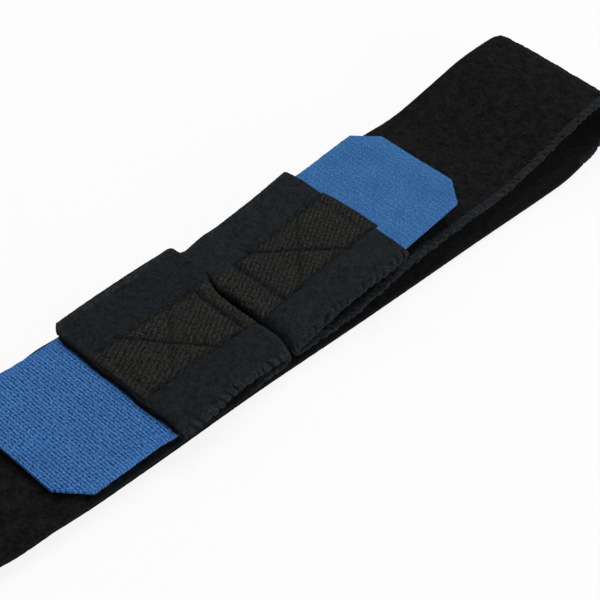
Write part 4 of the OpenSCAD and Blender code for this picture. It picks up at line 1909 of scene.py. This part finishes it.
@dataclass
class Wrap:
    """The whole wrap: both sides, the base and the tabs, dressed, with the base, the upper runs and the
    thread set on their bodies.
    """

    right: Side
    left: Side
    finishes: dict[str, bpy.types.Material] = field(default_factory=dict)

    def dress(self, made: bpy.types.Object, finish: Finish, slot: str) -> None:
        """Gives a piece its finish, and logs its faces.

        Args:
            made: The piece.
            finish: Its finish, whose material is made once.
            slot: Material slot of the record, which is not used.
        """
        if finish.name not in self.finishes:
            self.finishes[finish.name] = finish.material()
        made.data.materials.append(self.finishes[finish.name])
        log.info("%s: %d faces", made.name, len(made.data.polygons))

    def dress_layers(self, layers: Layers, felt: FeltFinish, twill: TwillFinish) -> None:
        """Gives the four layers of a stretch their finishes.

        Args:
            layers: The stretch's pieces.
            felt: Finish of its inner face.
            twill: Finish of its tape.
        """
        finish = {
            Layer.WEB: (felt, "webbing"), Layer.PILE: (PlushFinish(), "plush"),
            Layer.OVERLOCK: (OverlockFinish(), "selvage"), Layer.TWILL: (twill, "twill"),
        }
        for layer, made in layers.items():
            self.dress(made, *finish[layer])

    def base(self) -> None:
        """Builds the base run."""
        line = BaseSide("right", 1, **RIGHT)
        layers = BaseStretch(line, Stretch.RUN, Sewing(line.panel_run)).build()
        self.dress_layers(layers, ShadedLoopFeltFinish(), TwillFinish())
        for layer, made in layers.items():
            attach(made, "base")
            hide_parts(f"base_{layer.value}")

    def half(self, side: Side) -> None:
        """Builds one side's turn, upper run, folded end, tab and stitching.

        Args:
            side: The side.
        """
        sewing = Sewing(side.panel_run, **SEWING[side.name])
        stretches = {stretch: BandStretch(side, stretch, sewing) for stretch in Stretch}
        for stretch, parts in stretches.items():
            layers = parts.build()
            felt = PANEL_FELT[side.name] if stretch is Stretch.END else ShadedLoopFeltFinish()
            self.dress_layers(layers, felt, PANEL_TWILL[side.name])
            for layer, made in layers.items():
                self.set_on(made, side, stretch, layer)
            start, stop = side.span(stretch)
            stop - start
        self.tab(Tab(side, **TABS[side.name]))
        thread = Stitching(side, stretches[Stretch.END]).build()
        self.dress(thread, ThreadFinish(), "thread")
        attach(thread, f"{side.name}_end")
        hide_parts(f"{side.name}_box_stitching")

    def set_on(self, made: bpy.types.Object, side: Side, stretch: Stretch, layer: Layer) -> None:
        """Sets a layer in place and hides the CAD nodes that it stands for: the run rides on its limb's body,
        and the turn and the fold are baked where they lie.

        Args:
            made: The layer's piece.
            side: Side that it is on.
            stretch: Stretch that it is of.
            layer: Which layer it is.
        """
        limb, end = f"{side.name}_limb", f"{side.name}_end"
        nodes = [f"{limb}_{layer.value}"]
        if stretch is Stretch.TURN:
            turn_x = side.sign * BAND.reach
            low, high = BAND.turn_hold, 2 * BAND.turn_r - BAND.turn_hold
            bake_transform(made)
            nodes.append(f"base_{layer.value}")
        elif stretch is Stretch.RUN:
            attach(made, limb)
        else:
            fold_x = side.sign * side.fold_x
            low = side.face_z - BAND.thick
            fallen = min(0.0, side.panel_run * math.sin(side.rise))
            high = side.fold_z + side.fold_r + fallen - BAND.fold_hold
            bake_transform(made)
            nodes = [f"{side.name}_{part}_{layer.value}" for part in ("fold", "panel")]
        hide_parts(*nodes)

    def tab(self, tab: Tab) -> None:
        """Builds a tab at the end of its panel, and bakes its tape and hooks where they lie.

        Args:
            tab: The tab.
        """
        name = tab.side.name
        peel = np.array(JOINTS[f"{name}_tab_peel"]["pos_m"])
        way = np.array([tab.side.sign * math.cos(tab.side.rise), 0, math.sin(tab.side.rise)]) * tab.bend
        tape, hooks = tab.tape(), tab.hooks()
        self.dress(tape, WEAVE[name], "hook_tape")
        self.dress(hooks, HookFinish(), "hooks")
        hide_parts(f"{name}_tab_anchor", f"{name}_tab_flap")
        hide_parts(f"{name}_tab_anchor_hooks", f"{name}_tab_flap_hooks")
        for made in (tape, hooks):
            tuple(peel - way)
            tuple(peel + way)
            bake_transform(made)
        length = tab.far_u - tab.anchor_inset
        cut = tab.width * length - tab.corner_l * tab.corner_w

    def build(self) -> None:
        """Builds every piece."""
        self.base()
        for side in (self.right, self.left):
            self.half(side)


RIGHT = {
    "panel_l": 43.8 * MM, "lift": 9.5, "sag": 3.5 * MM, "climb": 16 * MM, "level": 15 * MM, "skew": 0.4,
    "near_reach": 2.0 * MM, "far_reach": 0.6 * MM, "near_drop": 1.8 * MM, "corner_drop": 1.5 * MM,
    "slack_back": 0.4 * MM, "mid_shoulder": 1.2 * MM, "mid_bulge": 1.0 * MM, "edge_relief": 1.4,
    "near_pull": 1.5 * MM, "far_flare": -0.4 * MM, "limb_ease": 0.4 * MM, "limb_flare": 0.8 * MM,
    "turn_draw": 0.7 * MM, "turn_skew": 0.07, "end_flare": 0.4 * MM, "far_lift": 1.5 * MM,
    "end_over": 0.4 * MM, "twill_over": 1.0 * MM, "twill_askew": 0.35 * MM,
}
LEFT = {
    "panel_l": 42.2 * MM, "lift": 0.0, "sag": 0.0, "climb": 16 * MM, "level": 12 * MM, "skew": 0.88,
    "near_reach": 0.6 * MM, "far_reach": 0.6 * MM, "near_drop": 1.7 * MM, "edge_drop": 1.6 * MM,
    "slack_back": 1.6 * MM, "edge_relief": 0.25, "corner_cut": 2.2 * MM,
    "near_pull": 2.3 * MM, "far_flare": 2.1 * MM, "limb_draw": 1.9 * MM, "limb_flare": -2.8 * MM,
    "far_lift": -0.4 * MM, "end_over": 0.5 * MM, "twill_over": -0.45 * MM,
}
SEWING = {
    "right": {"box_inset": 4.3 * MM, "cross_l": 20 * MM, "rising": 0.2 * MM},
    "left": {"box_inset": 1.4 * MM, "cross_l": 17 * MM, "falling": 0.45 * MM},
}
TABS = {
    "right": {"tip_droop": 0.5 * MM, "offset": 0.5 * MM, "reach": 0.7 * MM},
    "left": {"width": 38.5 * MM, "reach": -0.5 * MM},
}
PANEL_FELT = {"right": FeltFinish(), "left": ShadedFeltFinish()}
PANEL_TWILL = {"right": TwillFinish(), "left": ShadedTwillFinish()}
WEAVE = {"right": CloseWeaveFinish(), "left": HookTapeFinish()}


def main() -> None:
    """Builds the studio and the wrap."""
    logging.basicConfig(level=logging.INFO, format="%(message)s")
    Studio().build()
    Wrap(Side("right", 1, **RIGHT), Side("left", -1, **LEFT)).build()


if __name__ == "__main__":
    main()
